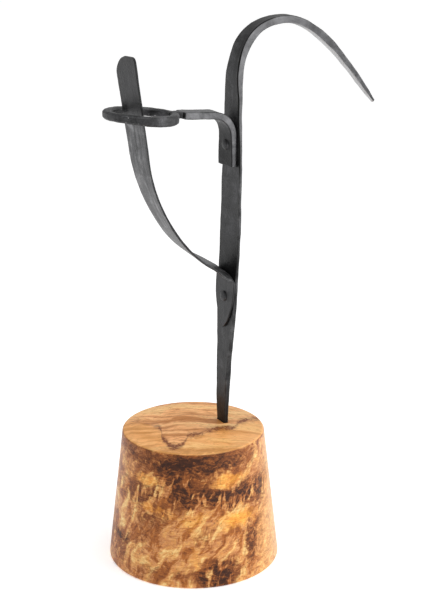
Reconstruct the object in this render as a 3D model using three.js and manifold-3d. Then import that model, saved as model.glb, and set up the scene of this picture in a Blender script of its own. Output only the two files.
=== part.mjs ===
// Spring candlestick. A forged iron stem stands in a turned wooden base and is drawn out into a hanging
// hook. A bracket riveted to the stem carries the candle ring, and a riveted leaf spring rises through the
// ring and presses the candle against its far wall.
// Millimetres, +Z up. The origin is the centre of the base's underside. The ring and the spring reach out
// towards -X and the hook towards +X, all in the plane Y = 0.

import * as THREE from 'three';
import { mergeVertices } from 'three/addons/utils/BufferGeometryUtils.js';
import Module from 'manifold-3d';

const wasm = await Module();
wasm.setup();

// Fits
const seatGap = 0.3;
const cutOverrun = 1;

// Wooden base
const baseRadius = 50;
const baseTopRadius = 41.3;
const baseHeight = 78.7;
const baseRimRound = 1.6;
const baseFootRound = 1.2;

// Stem, from the tip of its tang to the shoulder of the hook
const stemOffset = 19.8;
const stemRise = 191.3;
const stemLean = 6.6;
const tangDepth = 40;
const stemWidth = 20.3;
const stemThickness = 4.2;
const stemEdgeRound = 0.7;

// Hook, a shoulder that climbs to the crown and a tail that falls to the tip
const crownReach = 31.6;
const crownRise = 40.6;
const crownShoulder = 22;
const crownFall = 22;
const shoulderPull = 28;
const tipReach = 63.5;
const tipDrop = 51.2;
const tipPull = 25;
const tipSlope = THREE.MathUtils.degToRad(49);
const stemLowPullShare = 0.235;
const stemHighPullShare = 0.467;
const stemHighLeanShare = 0.85;

// Candle ring, a closed eye of square bar in a plane that rises away from the stem
const ringReach = 57.4;
const ringBelowShoulder = 6.2;
const ringOuterRadius = 20.7;
const ringBarWidth = 4.8;
const ringBarHeight = 5.4;
const ringBarRound = 1.4;
const ringTilt = THREE.MathUtils.degToRad(5.1);
const ringSeam = 0.5;

// Bracket strap, from the foot of its leg over the bend to the neck of the ring
const strapWidth = 13;
const strapThickness = 4;
const strapEdgeRound = 0.6;
const strapBendRadius = 13.5;
const strapLegLength = 18;
const neckWidth = 5.2;
const neckLength = 4.2;

// Leaf spring, one strip from the tongue on the stem to the rounded end above the ring
const springWidth = 20.2;
const springThickness = 1.3;
const springEdgeRound = 0.35;
const springFootWidth = 19.9;
const springFootRise = 58.3;
const springFootLength = 29.3;
const springBendRadius = 4.5;
const springRunLength = 14.9;
const springRunHeading = THREE.MathUtils.degToRad(150.1);
const springBellyPull = 14;
const springBackPull = 33.9;
const springLean = THREE.MathUtils.degToRad(8);
const springBelowRing = 22.4;
const springAboveRing = 32.4;
const springTwist = THREE.MathUtils.degToRad(8.6);
const candleGap = 20;

// Rivets
const rivetRadius = 2;
const rivetHeadRadius = 3.2;
const rivetHeadHeight = 1.5;
const rivetTailRadius = 3.4;
const rivetTailHeight = 1.2;
const domeRiseShare = 0.75;
const springRivetUp = 18.2;
const strapRivetUp = 12;

// Facets
const latheSegments = 96;
const rivetSegments = 24;
const roundSteps = 4;
const stationSpacing = 4;
const shoulderSteps = 24;
const tailSteps = 26;
const ringSteps = 56;
const footSteps = 20;
const bellySteps = 22;
const springBackSteps = 36;
const bendStep = THREE.MathUtils.degToRad(9);
const seatFollowSteps = 4;
const halvings = 24;
const settleSteps = 12;

// Sections of the stem. Each row has a place, then shares of the stem's width and thickness. The place
// counts the stretches of the path: 0 to 1 the tang, 1 to 2 the stem, 2 to 3 the shoulder, 3 to 4 the tail.
const stemSectionShares = [
  [0, 0.22, 0.48],
  [1, 0.42, 0.6],
  [1.16, 0.52, 0.66],
  [1.24, 0.68, 0.6],
  [1.31, 0.83, 0.53],
  [1.39, 0.94, 0.46],
  [1.51, 1, 0.4],
  [1.7, 0.97, 0.39],
  [1.78, 0.95, 0.43],
  [1.87, 0.88, 0.52],
  [2, 0.74, 0.68],
  [2.21, 0.62, 0.81],
  [2.41, 0.53, 0.88],
  [2.79, 0.43, 0.93],
  [3, 0.33, 0.93],
  [3.2, 0.25, 0.98],
  [3.4, 0.22, 1],
  [3.56, 0.22, 0.88],
  [3.76, 0.2, 0.69],
  [3.88, 0.16, 0.62],
  [4, 0.1, 0.48],
];

// Sections of the strap. Each row has a place, then the near and the far half width as shares of the
// strap's width, then the share of its thickness: 0 to 1 the leg, 1 to 2 the bend, 2 to 3 the arm.
const strapSectionShares = [
  [0, 0.5, 0.58, 0.76],
  [0.6, 0.51, 0.58, 0.78],
  [1, 0.5, 0.56, 0.9],
  [1.5, 0.485, 0.51, 1],
  [2, 0.465, 0.47, 1],
  [3, 0.42, 0.42, 1],
];

// Heights of the ring's bar by share of its way round, from the neck by the far side to its cut end.
const ringHeightShares = [
  [0, 0.86],
  [0.25, 0.84],
  [0.5, 0.82],
  [0.75, 0.95],
  [1, 1.08],
];

// Twists of the spring by share of its length above the bend. Its near edge hangs lower by the stem, and
// further up its far edge leans out.
const springTwistShares = [
  [0, -0.83],
  [0.06, -1],
  [0.12, -0.86],
  [0.2, -0.5],
  [0.35, -0.34],
  [0.66, 0.17],
  [1, 0.66],
];

// Widths of the spring's foot by share of its length, from the tip of the tongue to the bend.
const footWidthShares = [
  [0, 0.08],
  [0.03, 0.2],
  [0.14, 0.44],
  [0.34, 0.72],
  [0.6, 0.95],
  [0.8, 1],
  [1, 1],
];

// Half widths of the blade's rounded end on its two edges, by share of the spring's width below the end.
const endNearShares = [
  [0, 0.33],
  [0.02, 0.4],
  [0.07, 0.455],
  [0.15, 0.49],
  [0.26, 0.5],
];
const endFarShares = [
  [0, 0.02],
  [0.04, 0.13],
  [0.14, 0.28],
  [0.28, 0.41],
  [0.42, 0.49],
  [0.55, 0.51],
];

const ironColour = 0x4a4a4b;
const ringIronColour = 0x505051;
const woodColour = 0xb87f4a;

const acrossY = new THREE.Vector3(0, 1, 0);

// Reads a table at a place along its first column, with a smooth run through its rows.
function readTable(rows, place, column) {
  const last = rows.length - 1;
  if (place <= rows[0][0]) return rows[0][column];
  if (place >= rows[last][0]) return rows[last][column];
  let i = 0;
  while (rows[i + 1][0] < place) i += 1;
  const slopeOver = (a, b) => (rows[b][column] - rows[a][column]) / (rows[b][0] - rows[a][0]);
  const span = rows[i + 1][0] - rows[i][0];
  const startSlope = slopeOver(Math.max(i - 1, 0), i + 1);
  const endSlope = slopeOver(i, Math.min(i + 2, last));
  const t = (place - rows[i][0]) / span;
  const rise = t * t * (3 - 2 * t);
  const startPart = startSlope * span * t * (1 - t) * (1 - t);
  const endPart = endSlope * span * t * t * (t - 1);
  return rows[i][column] * (1 - rise) + rows[i + 1][column] * rise + startPart + endPart;
}

// The corners of a bar's section, as steps across its width and through its thickness.
function barSection(nearHalf, farHalf, thickness, round) {
  const r = Math.min(round, thickness / 3, nearHalf / 2, farHalf / 2);
  const half = thickness / 2;
  const corners = [
    [farHalf - r, half - r, 0],
    [-nearHalf + r, half - r, Math.PI / 2],
    [-nearHalf + r, -half + r, Math.PI],
    [farHalf - r, -half + r, Math.PI * 1.5],
  ];
  const points = [];
  for (const [x, y, start] of corners) {
    for (const step of [0, 1, 2]) {
      const angle = start + (step * Math.PI) / 4;
      points.push([x + r * Math.cos(angle), y + r * Math.sin(angle)]);
    }
  }
  return points;
}

// One closed bar lofted through stations. A station has a centre, its unit directions across and through
// the bar, its half widths on the near and far edge, its thickness and its edge round.
function forgeBar(stations) {
  const positions = [];
  const indices = [];
  const ringSize = barSection(1, 1, 1, 1).length;
  for (const s of stations) {
    for (const [a, b] of barSection(s.near, s.far, s.thickness, s.round)) {
      const p = s.centre.clone().addScaledVector(s.across, a).addScaledVector(s.through, b);
      positions.push(p.x, p.y, p.z);
    }
  }
  for (let i = 0; i + 1 < stations.length; i += 1) {
    for (let j = 0; j < ringSize; j += 1) {
      const a = i * ringSize + j;
      const b = i * ringSize + ((j + 1) % ringSize);
      indices.push(a, b, b + ringSize, a, b + ringSize, a + ringSize);
    }
  }
  const lastRing = (stations.length - 1) * ringSize;
  for (let j = 1; j + 1 < ringSize; j += 1) {
    indices.push(0, j + 1, j, lastRing, lastRing + j, lastRing + j + 1);
  }
  const geometry = new THREE.BufferGeometry();
  geometry.setAttribute('position', new THREE.Float32BufferAttribute(positions, 3));
  geometry.setIndex(indices);
  return faceOutwards(geometry);
}

// Turns every face round if the closed mesh encloses a negative volume.
function faceOutwards(geometry) {
  const p = geometry.attributes.position;
  const index = geometry.index.array;
  const [a, b, c] = [new THREE.Vector3(), new THREE.Vector3(), new THREE.Vector3()];
  let volume = 0;
  for (let i = 0; i < index.length; i += 3) {
    a.fromBufferAttribute(p, index[i]);
    b.fromBufferAttribute(p, index[i + 1]);
    c.fromBufferAttribute(p, index[i + 2]);
    volume += a.dot(b.cross(c));
  }
  if (volume < 0) geometry.setIndex(Array.from(index).reverse());
  return geometry;
}

// Stations of a bar whose path lies in the plane Y = 0, with the given stretches. sectionAt gives the
// half widths, thickness, edge round, twist and seat at a place. A seat of 1 or -1 puts the path on the
// bar's inner or outer face instead of its middle.
function planeStations(stretches, sectionAt, from = 0, to = stretches.length) {
  const stations = [];
  stretches.forEach(({ curve, leastSteps }, k) => {
    const low = Math.max(from, k);
    const high = Math.min(to, k + 1);
    if (high <= low) return;
    const length = curve.getLength() * (high - low);
    const steps = Math.max(leastSteps, Math.ceil(length / stationSpacing));
    for (let i = stations.length ? 1 : 0; i <= steps; i += 1) {
      const place = low + ((high - low) * i) / steps;
      stations.push(planeStation(curve, place - k, sectionAt(place)));
    }
  });
  return stations;
}

function planeStation(curve, share, section) {
  const point = curve.getPointAt(share);
  const heading = curve.getTangentAt(share);
  const along = new THREE.Vector3(heading.x, 0, heading.y);
  const through = new THREE.Vector3(heading.y, 0, -heading.x);
  const across = acrossY.clone();
  if (section.twist) {
    through.applyAxisAngle(along, section.twist);
    across.applyAxisAngle(along, section.twist);
  }
  const centre = new THREE.Vector3(point.x, 0, point.y);
  centre.addScaledVector(through, ((section.seat ?? 0) * section.thickness) / 2);
  return { ...section, centre, across, through };
}

// A stretch of a path, with the fewest steps that keep its shape.
function stretch(curve, leastSteps = 2) {
  return { curve, leastSteps };
}

function line(from, to, leastSteps) {
  return stretch(new THREE.LineCurve(from, to), leastSteps);
}

function headingOf(angle) {
  return new THREE.Vector2(Math.cos(angle), Math.sin(angle));
}

// An arc that leaves a point along one heading and arrives at another, turning left.
class LeftBend extends THREE.Curve {
  constructor(start, startHeading, endHeading, radius) {
    super();
    this.start = start;
    this.startHeading = startHeading;
    this.turn = endHeading - startHeading;
    this.radius = radius;
  }

  asStretch() {
    return stretch(this, Math.ceil(this.turn / bendStep));
  }

  getPoint(t, target = new THREE.Vector2()) {
    const angle = this.startHeading + this.turn * t;
    target.x = this.start.x + this.radius * (Math.sin(angle) - Math.sin(this.startHeading));
    target.y = this.start.y - this.radius * (Math.cos(angle) - Math.cos(this.startHeading));
    return target;
  }
}

// Solids for joining and cutting
function toSolid(geometry) {
  const bare = geometry.clone();
  bare.deleteAttribute('normal');
  bare.deleteAttribute('uv');
  const merged = mergeVertices(bare);
  return new wasm.Manifold(new wasm.Mesh({
    numProp: 3,
    vertProperties: Float32Array.from(merged.attributes.position.array),
    triVerts: Uint32Array.from(merged.index.array),
  }));
}

function toGeometry(solid) {
  const mesh = solid.getMesh();
  const geometry = new THREE.BufferGeometry();
  geometry.setAttribute('position', new THREE.BufferAttribute(mesh.vertProperties, 3));
  geometry.setIndex(new THREE.BufferAttribute(mesh.triVerts, 1));
  return geometry;
}

function cut(geometry, ...tools) {
  let solid = toSolid(geometry);
  for (const tool of tools) solid = solid.subtract(toSolid(tool));
  return toGeometry(solid);
}

function iron(geometry, name, colour = ironColour) {
  geometry.computeVertexNormals();
  const material = new THREE.MeshStandardMaterial({ color: colour, roughness: 0.55, metalness: 0.6 });
  material.flatShading = true;
  const mesh = new THREE.Mesh(geometry, material);
  mesh.name = name;
  return mesh;
}

// The stem's path: tang, stem, shoulder and tail
function stemPath() {
  const v = (x, z) => new THREE.Vector2(x, z);
  const entry = v(stemOffset, baseHeight);
  const tangTip = v(stemOffset, baseHeight - tangDepth);
  const top = v(stemOffset + stemLean, baseHeight + stemRise);
  const lowPull = v(stemOffset, baseHeight + stemRise * stemLowPullShare);
  const highPull = v(stemOffset + stemLean * stemHighLeanShare, baseHeight + stemRise * stemHighPullShare);
  const topHeading = top.clone().sub(highPull).normalize();
  const crown = v(top.x + crownReach, top.y + crownRise);
  const tip = v(crown.x + tipReach, crown.y - tipDrop);
  const afterTop = top.clone().addScaledVector(topHeading, shoulderPull);
  const beforeTip = tip.clone().addScaledVector(headingOf(Math.PI - tipSlope), tipPull);
  const shoulder = new THREE.CubicBezierCurve(top, afterTop, v(crown.x - crownShoulder, crown.y), crown);
  const tail = new THREE.CubicBezierCurve(crown, v(crown.x + crownFall, crown.y), beforeTip, tip);
  return [
    line(tangTip, entry),
    stretch(new THREE.CubicBezierCurve(entry, lowPull, highPull, top)),
    stretch(shoulder, shoulderSteps),
    stretch(tail, tailSteps),
  ];
}

const stemStretches = stemPath();
const ringHeight = baseHeight + stemRise - ringBelowShoulder;
const springFootBottom = baseHeight + springFootRise;

function stemSection(place) {
  const half = (stemWidth * readTable(stemSectionShares, place, 1)) / 2;
  return {
    near: half,
    far: half,
    thickness: stemThickness * readTable(stemSectionShares, place, 2),
    round: stemEdgeRound,
  };
}

// The stem at a height between the wood and the shoulder: its middle, its heading and its thickness.
function stemAt(height) {
  const { curve } = stemStretches[1];
  let [low, high] = [0, 1];
  for (let i = 0; i < halvings; i += 1) {
    const middle = (low + high) / 2;
    if (curve.getPointAt(middle).y < height) low = middle;
    else high = middle;
  }
  return {
    point: curve.getPointAt(low),
    heading: curve.getTangentAt(low),
    thickness: stemSection(1 + low).thickness,
  };
}

// A point beside the stem's candle side, at a clearance from its face.
function besideStem(height, clearance) {
  const { point, heading, thickness } = stemAt(height);
  const away = thickness / 2 + clearance;
  return new THREE.Vector2(point.x - heading.y * away, point.y + heading.x * away);
}

// A path that keeps a clearance from the stem's candle side between two heights.
function alongStem(bottom, top, clearance) {
  const points = [];
  for (let i = 0; i <= seatFollowSteps; i += 1) {
    points.push(besideStem(THREE.MathUtils.lerp(bottom, top, i / seatFollowSteps), clearance));
  }
  return new THREE.SplineCurve(points);
}

// The ring's plane. Its outward side rises away from the stem.
const ringCentre = new THREE.Vector3(stemOffset + stemLean - ringReach, 0, ringHeight);
const ringToStem = new THREE.Vector3(Math.cos(ringTilt), 0, -Math.sin(ringTilt));
const ringUp = new THREE.Vector3(Math.sin(ringTilt), 0, Math.cos(ringTilt));
const ringMiddleRadius = ringOuterRadius - ringBarWidth / 2;
const ringInnerRadius = ringOuterRadius - ringBarWidth;

// The strap's path runs on its outer face: up beside the stem, round the bend and along the arm's top.
const armHeading = Math.PI - ringTilt;
const neckEnd = new THREE.Vector2(ringCentre.x, ringCentre.z)
  .addScaledVector(new THREE.Vector2(ringUp.x, ringUp.z), ringBarHeight / 2)
  .addScaledVector(new THREE.Vector2(ringToStem.x, ringToStem.z), ringMiddleRadius);
const strapLegTop = strapBendStart();
const strapLegBottom = strapLegTop - strapLegLength;

// The height at which the bend starts, so that it ends on the line of the arm's top.
function strapBendStart() {
  let height = ringHeight - strapBendRadius;
  for (let i = 0; i < settleSteps; i += 1) {
    const start = besideStem(height, seatGap);
    const heading = stemAt(height).heading.angle();
    const end = new LeftBend(start, heading, armHeading, strapBendRadius).getPoint(1);
    height += neckEnd.y - (end.x - neckEnd.x) * Math.tan(ringTilt) - end.y;
  }
  return height;
}

function strapPath() {
  const leg = alongStem(strapLegBottom, strapLegTop, seatGap);
  const heading = leg.getTangentAt(1).angle();
  const bend = new LeftBend(leg.getPointAt(1), heading, armHeading, strapBendRadius);
  const neckStart = neckEnd.clone().addScaledVector(headingOf(armHeading), -(neckLength + ringBarWidth / 2));
  return [stretch(leg), bend.asStretch(), line(bend.getPoint(1), neckStart), line(neckStart, neckEnd)];
}

function strapSection(place) {
  return {
    near: strapWidth * readTable(strapSectionShares, place, 1),
    far: strapWidth * readTable(strapSectionShares, place, 2),
    thickness: strapThickness * readTable(strapSectionShares, place, 3),
    round: strapEdgeRound,
    seat: -1,
  };
}

function neckSection() {
  const half = neckWidth / 2;
  return { near: half, far: half, thickness: strapThickness, round: strapEdgeRound, seat: -1 };
}

// The eye starts inside the neck, runs round by the far side and is cut square beside the neck.
function ringStations() {
  const startAngle = -Math.asin(neckWidth / 3 / ringMiddleRadius);
  const endAngle = Math.PI * 2 - Math.asin((neckWidth / 2 + ringSeam) / ringInnerRadius);
  const stations = [];
  for (let i = 0; i <= ringSteps; i += 1) {
    const share = i / ringSteps;
    const angle = startAngle + (endAngle - startAngle) * share;
    const across = ringToStem.clone().multiplyScalar(Math.cos(angle));
    across.addScaledVector(acrossY, Math.sin(angle));
    const height = ringBarHeight * readTable(ringHeightShares, share, 1);
    const centre = ringCentre.clone().addScaledVector(across, ringMiddleRadius);
    centre.addScaledVector(ringUp, (ringBarHeight - height) / 2);
    const section = { near: ringBarWidth / 2, far: ringBarWidth / 2, thickness: height, round: ringBarRound };
    stations.push({ ...section, centre, across, through: ringUp });
  }
  return stations;
}

// A rivet's place: where its axis crosses the stem's middle, and what it clamps on the candle side.
function rivetPlace(height, clamped) {
  const { point, heading, thickness } = stemAt(height);
  return {
    centre: new THREE.Vector3(point.x, 0, point.y),
    outward: new THREE.Vector3(-heading.y, 0, heading.x),
    headSeat: thickness / 2 + seatGap + clamped + seatGap,
    tailSeat: thickness / 2 + seatGap,
  };
}

// Turns a piece made about +Y so that +Y lies on the rivet's axis, with its head on the candle side.
function placeOnRivet(object, place) {
  object.quaternion.setFromUnitVectors(acrossY, place.outward);
  object.position.copy(place.centre);
  return object;
}

function rivetHole(place) {
  const length = 2 * (place.headSeat + cutOverrun);
  const radius = rivetRadius + seatGap;
  const hole = new THREE.CylinderGeometry(radius, radius, length, rivetSegments);
  const holder = placeOnRivet(new THREE.Object3D(), place);
  holder.updateMatrix();
  return hole.applyMatrix4(holder.matrix);
}

// Points of a domed head, from its top on the axis out to its rim.
function dome(radius, height, seat) {
  const rise = height * domeRiseShare;
  const points = [];
  for (let i = 0; i <= roundSteps; i += 1) {
    const angle = (Math.PI / 2) * (i / roundSteps);
    points.push([radius * Math.sin(angle), seat + height - rise + rise * Math.cos(angle)]);
  }
  points.push([radius, seat]);
  return points;
}

function rivet(name, place) {
  const head = dome(rivetHeadRadius, rivetHeadHeight, place.headSeat);
  const tail = dome(rivetTailRadius, rivetTailHeight, place.tailSeat).map(([r, y]) => [r, -y]);
  const shank = [[rivetRadius, place.headSeat], [rivetRadius, -place.tailSeat]];
  const outline = [...head, ...shank, ...tail.reverse()].reverse();
  const profile = outline.map(([r, y]) => new THREE.Vector2(r, y));
  const turned = new THREE.LatheGeometry(profile, rivetSegments);
  return placeOnRivet(iron(toGeometry(toSolid(turned)), name), place);
}

// The spring's path: the foot beside the stem, the bend, a straight run, the belly and the upright back.
function springPath() {
  const footTop = springFootBottom + springFootLength;
  const foot = alongStem(springFootBottom, footTop, seatGap + springThickness / 2);
  const heading = foot.getTangentAt(1).angle();
  const bend = new LeftBend(foot.getPointAt(1), heading, springRunHeading, springBendRadius);
  const runStart = bend.getPoint(1);
  const runEnd = runStart.clone().addScaledVector(headingOf(springRunHeading), springRunLength);
  const outwards = ringInnerRadius - candleGap - springThickness / 2;
  const atRing = ringCentre.clone().addScaledVector(ringToStem, outwards);
  const up = headingOf(Math.PI / 2 + springLean);
  const backStart = new THREE.Vector2(atRing.x, atRing.z).addScaledVector(up, -springBelowRing);
  const backEnd = new THREE.Vector2(atRing.x, atRing.z).addScaledVector(up, springAboveRing);
  const afterRun = runEnd.clone().addScaledVector(headingOf(springRunHeading), springBellyPull);
  const beforeBack = backStart.clone().addScaledVector(up, -springBackPull);
  const belly = new THREE.CubicBezierCurve(runEnd, afterRun, beforeBack, backStart);
  return [
    stretch(foot, footSteps),
    bend.asStretch(),
    line(runStart, runEnd),
    stretch(belly, bellySteps),
    line(backStart, backEnd, springBackSteps),
  ];
}

const springStretches = springPath();
const springEnd = springStretches.length;

// The strip's twist grows round the bend and follows its table above it.
function twistAt(place) {
  const lengths = springStretches.slice(2).map(({ curve }) => curve.getLength());
  const total = lengths.reduce((sum, length) => sum + length, 0);
  const reached = lengths.reduce((sum, length, i) => sum + length * clampShare(place - 2 - i), 0);
  return springTwist * readTable(springTwistShares, reached / total, 1) * clampShare(place - 1);
}

function clampShare(share) {
  return Math.min(Math.max(share, 0), 1);
}

function springSection(place) {
  const section = { thickness: springThickness, round: springEdgeRound, twist: twistAt(place) };
  if (place <= 1) {
    section.near = (springFootWidth * readTable(footWidthShares, place, 1)) / 2;
    section.far = section.near;
    return section;
  }
  const backLength = springBelowRing + springAboveRing;
  const below = (Math.max(springEnd - place, 0) * backLength) / springWidth;
  const settle = Math.min(place - 1, 1);
  const half = THREE.MathUtils.lerp(springFootWidth, springWidth, settle) / 2;
  const inEnd = place > springEnd - 1;
  section.near = inEnd ? springWidth * readTable(endNearShares, below, 1) : half;
  section.far = inEnd ? springWidth * readTable(endFarShares, below, 1) : half;
  return section;
}

// The strip is parted half way round its bend, at the line where it flexes.
const springPartPlace = 1.5;

function springPieces() {
  const halfGap = seatGap / 2 / springStretches[1].curve.getLength();
  const footStations = planeStations(springStretches, springSection, 0, springPartPlace - halfGap);
  const bladeStations = planeStations(springStretches, springSection, springPartPlace + halfGap, springEnd);
  return [footStations, bladeStations];
}

function woodenBase(tangTool) {
  const profile = [new THREE.Vector2(0, 0), new THREE.Vector2(baseRadius - baseFootRound, 0)];
  const slope = Math.atan2(baseHeight, baseRadius - baseTopRadius);
  for (let i = 1; i <= roundSteps; i += 1) {
    const angle = -Math.PI / 2 + ((Math.PI - slope) * i) / roundSteps;
    profile.push(new THREE.Vector2(
      baseRadius - baseFootRound + baseFootRound * Math.cos(angle),
      baseFootRound + baseFootRound * Math.sin(angle),
    ));
  }
  for (let i = 0; i <= roundSteps; i += 1) {
    const angle = Math.PI / 2 - slope + (slope * i) / roundSteps;
    profile.push(new THREE.Vector2(
      baseTopRadius - baseRimRound + baseRimRound * Math.cos(angle),
      baseHeight - baseRimRound + baseRimRound * Math.sin(angle),
    ));
  }
  profile.push(new THREE.Vector2(0, baseHeight));
  const turned = new THREE.LatheGeometry(profile, latheSegments).rotateX(Math.PI / 2);
  const geometry = cut(turned, tangTool);
  geometry.computeVertexNormals();
  const material = new THREE.MeshStandardMaterial({ color: woodColour, roughness: 0.45, metalness: 0 });
  material.flatShading = true;
  const mesh = new THREE.Mesh(geometry, material);
  mesh.name = 'wooden_base';
  return mesh;
}

// The blind mortise follows the tang with a clearance all round and runs out of the top.
function mortiseTool() {
  const stations = planeStations(stemStretches, stemSection, 0, 1);
  for (const s of stations) {
    s.near += seatGap;
    s.far += seatGap;
    s.thickness += 2 * seatGap;
  }
  const [bottom, top] = [stations[0], stations[stations.length - 1]];
  const below = { ...bottom, centre: bottom.centre.clone() };
  below.centre.z -= seatGap;
  const above = { ...top, centre: top.centre.clone() };
  above.centre.z += cutOverrun;
  return forgeBar([below, ...stations.slice(1), above]);
}

const springRivetPlace = rivetPlace(springFootBottom + springRivetUp, springThickness);
const strapRivetHeight = strapLegBottom + strapRivetUp;
const strapRivetShare = strapRivetUp / strapLegLength;
const strapRivetPlace = rivetPlace(strapRivetHeight, strapSection(strapRivetShare).thickness);

function stemWithHook() {
  const bar = forgeBar(planeStations(stemStretches, stemSection));
  return iron(cut(bar, rivetHole(springRivetPlace), rivetHole(strapRivetPlace)), 'stem_with_hook');
}

function ringBracket() {
  const stretches = strapPath();
  const strap = toSolid(forgeBar(planeStations(stretches, strapSection, 0, 3)));
  const neck = toSolid(forgeBar(planeStations(stretches.slice(3), neckSection)));
  const eye = toSolid(forgeBar(ringStations()));
  const joined = strap.add(neck).add(eye).subtract(toSolid(rivetHole(strapRivetPlace)));
  return iron(toGeometry(joined), 'ring_bracket', ringIronColour);
}

function leafSpring() {
  const [foot, blade] = springPieces().map(forgeBar);
  return [iron(cut(foot, rivetHole(springRivetPlace)), 'spring_foot'), iron(blade, 'spring_blade')];
}

const group = new THREE.Group();
group.add(woodenBase(mortiseTool()));
group.add(stemWithHook());
group.add(ringBracket());
group.add(rivet('bracket_rivet', strapRivetPlace));
group.add(...leafSpring());
group.add(rivet('spring_rivet', springRivetPlace));

export default group;
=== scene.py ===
"""Looks of the spring candlestick: forged iron on a turned base of burl wood.

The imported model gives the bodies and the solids. The classes are the finishes and the sub-assemblies, each
with its real sizes in millimetres. Iron bars are lofted along the same curves as the solids and worked over
by a hammering node tree. A second tree puts a rivet on every seat.
"""

import logging
import math
from dataclasses import dataclass, field
from enum import Enum

import bmesh
import bpy
import numpy as np
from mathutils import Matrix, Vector


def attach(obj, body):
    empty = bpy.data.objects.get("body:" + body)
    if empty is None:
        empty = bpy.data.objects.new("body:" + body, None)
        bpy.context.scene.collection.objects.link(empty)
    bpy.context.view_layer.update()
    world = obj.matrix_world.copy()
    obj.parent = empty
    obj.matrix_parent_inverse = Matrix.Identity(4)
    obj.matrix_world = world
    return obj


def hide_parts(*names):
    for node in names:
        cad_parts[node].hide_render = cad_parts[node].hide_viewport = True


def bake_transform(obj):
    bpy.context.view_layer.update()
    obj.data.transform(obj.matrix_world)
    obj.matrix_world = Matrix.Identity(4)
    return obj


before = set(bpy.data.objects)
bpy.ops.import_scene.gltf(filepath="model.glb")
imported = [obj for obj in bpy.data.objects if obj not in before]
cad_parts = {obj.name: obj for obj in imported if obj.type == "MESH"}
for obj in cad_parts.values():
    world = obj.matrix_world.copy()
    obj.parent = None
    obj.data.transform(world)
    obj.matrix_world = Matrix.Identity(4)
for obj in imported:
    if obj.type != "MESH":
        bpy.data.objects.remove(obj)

Tree = bpy.types.NodeTree
Socket = bpy.types.NodeSocket
Material = bpy.types.Material
Piece = bpy.types.Object
Triple = tuple[float, float, float]
# An unevenness: the usual distance between bumps in millimetres, the largest departure and a seed.
Waver = tuple[float, float, int]

log = logging.getLogger("candlestick")
MM = 0.001
ACROSS = np.array([0.0, 1.0, 0.0])
CURVE_POINTS = 160
BEND_POINTS = 60
HEAD_SEGMENTS, HEAD_RINGS, SHANK_SEGMENTS = 40, 24, 32


class Slot(Enum):
    """Material slots of the record."""

    WOOD = "burl_wood"
    IRON = "forged_iron"
    SPRING = "spring_iron"


class Blend(Enum):
    """How a pattern lies over a colour: lightening and darkening it, or only darkening it."""

    SOFT = "SOFT_LIGHT"
    DARK = "MULTIPLY"


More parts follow.
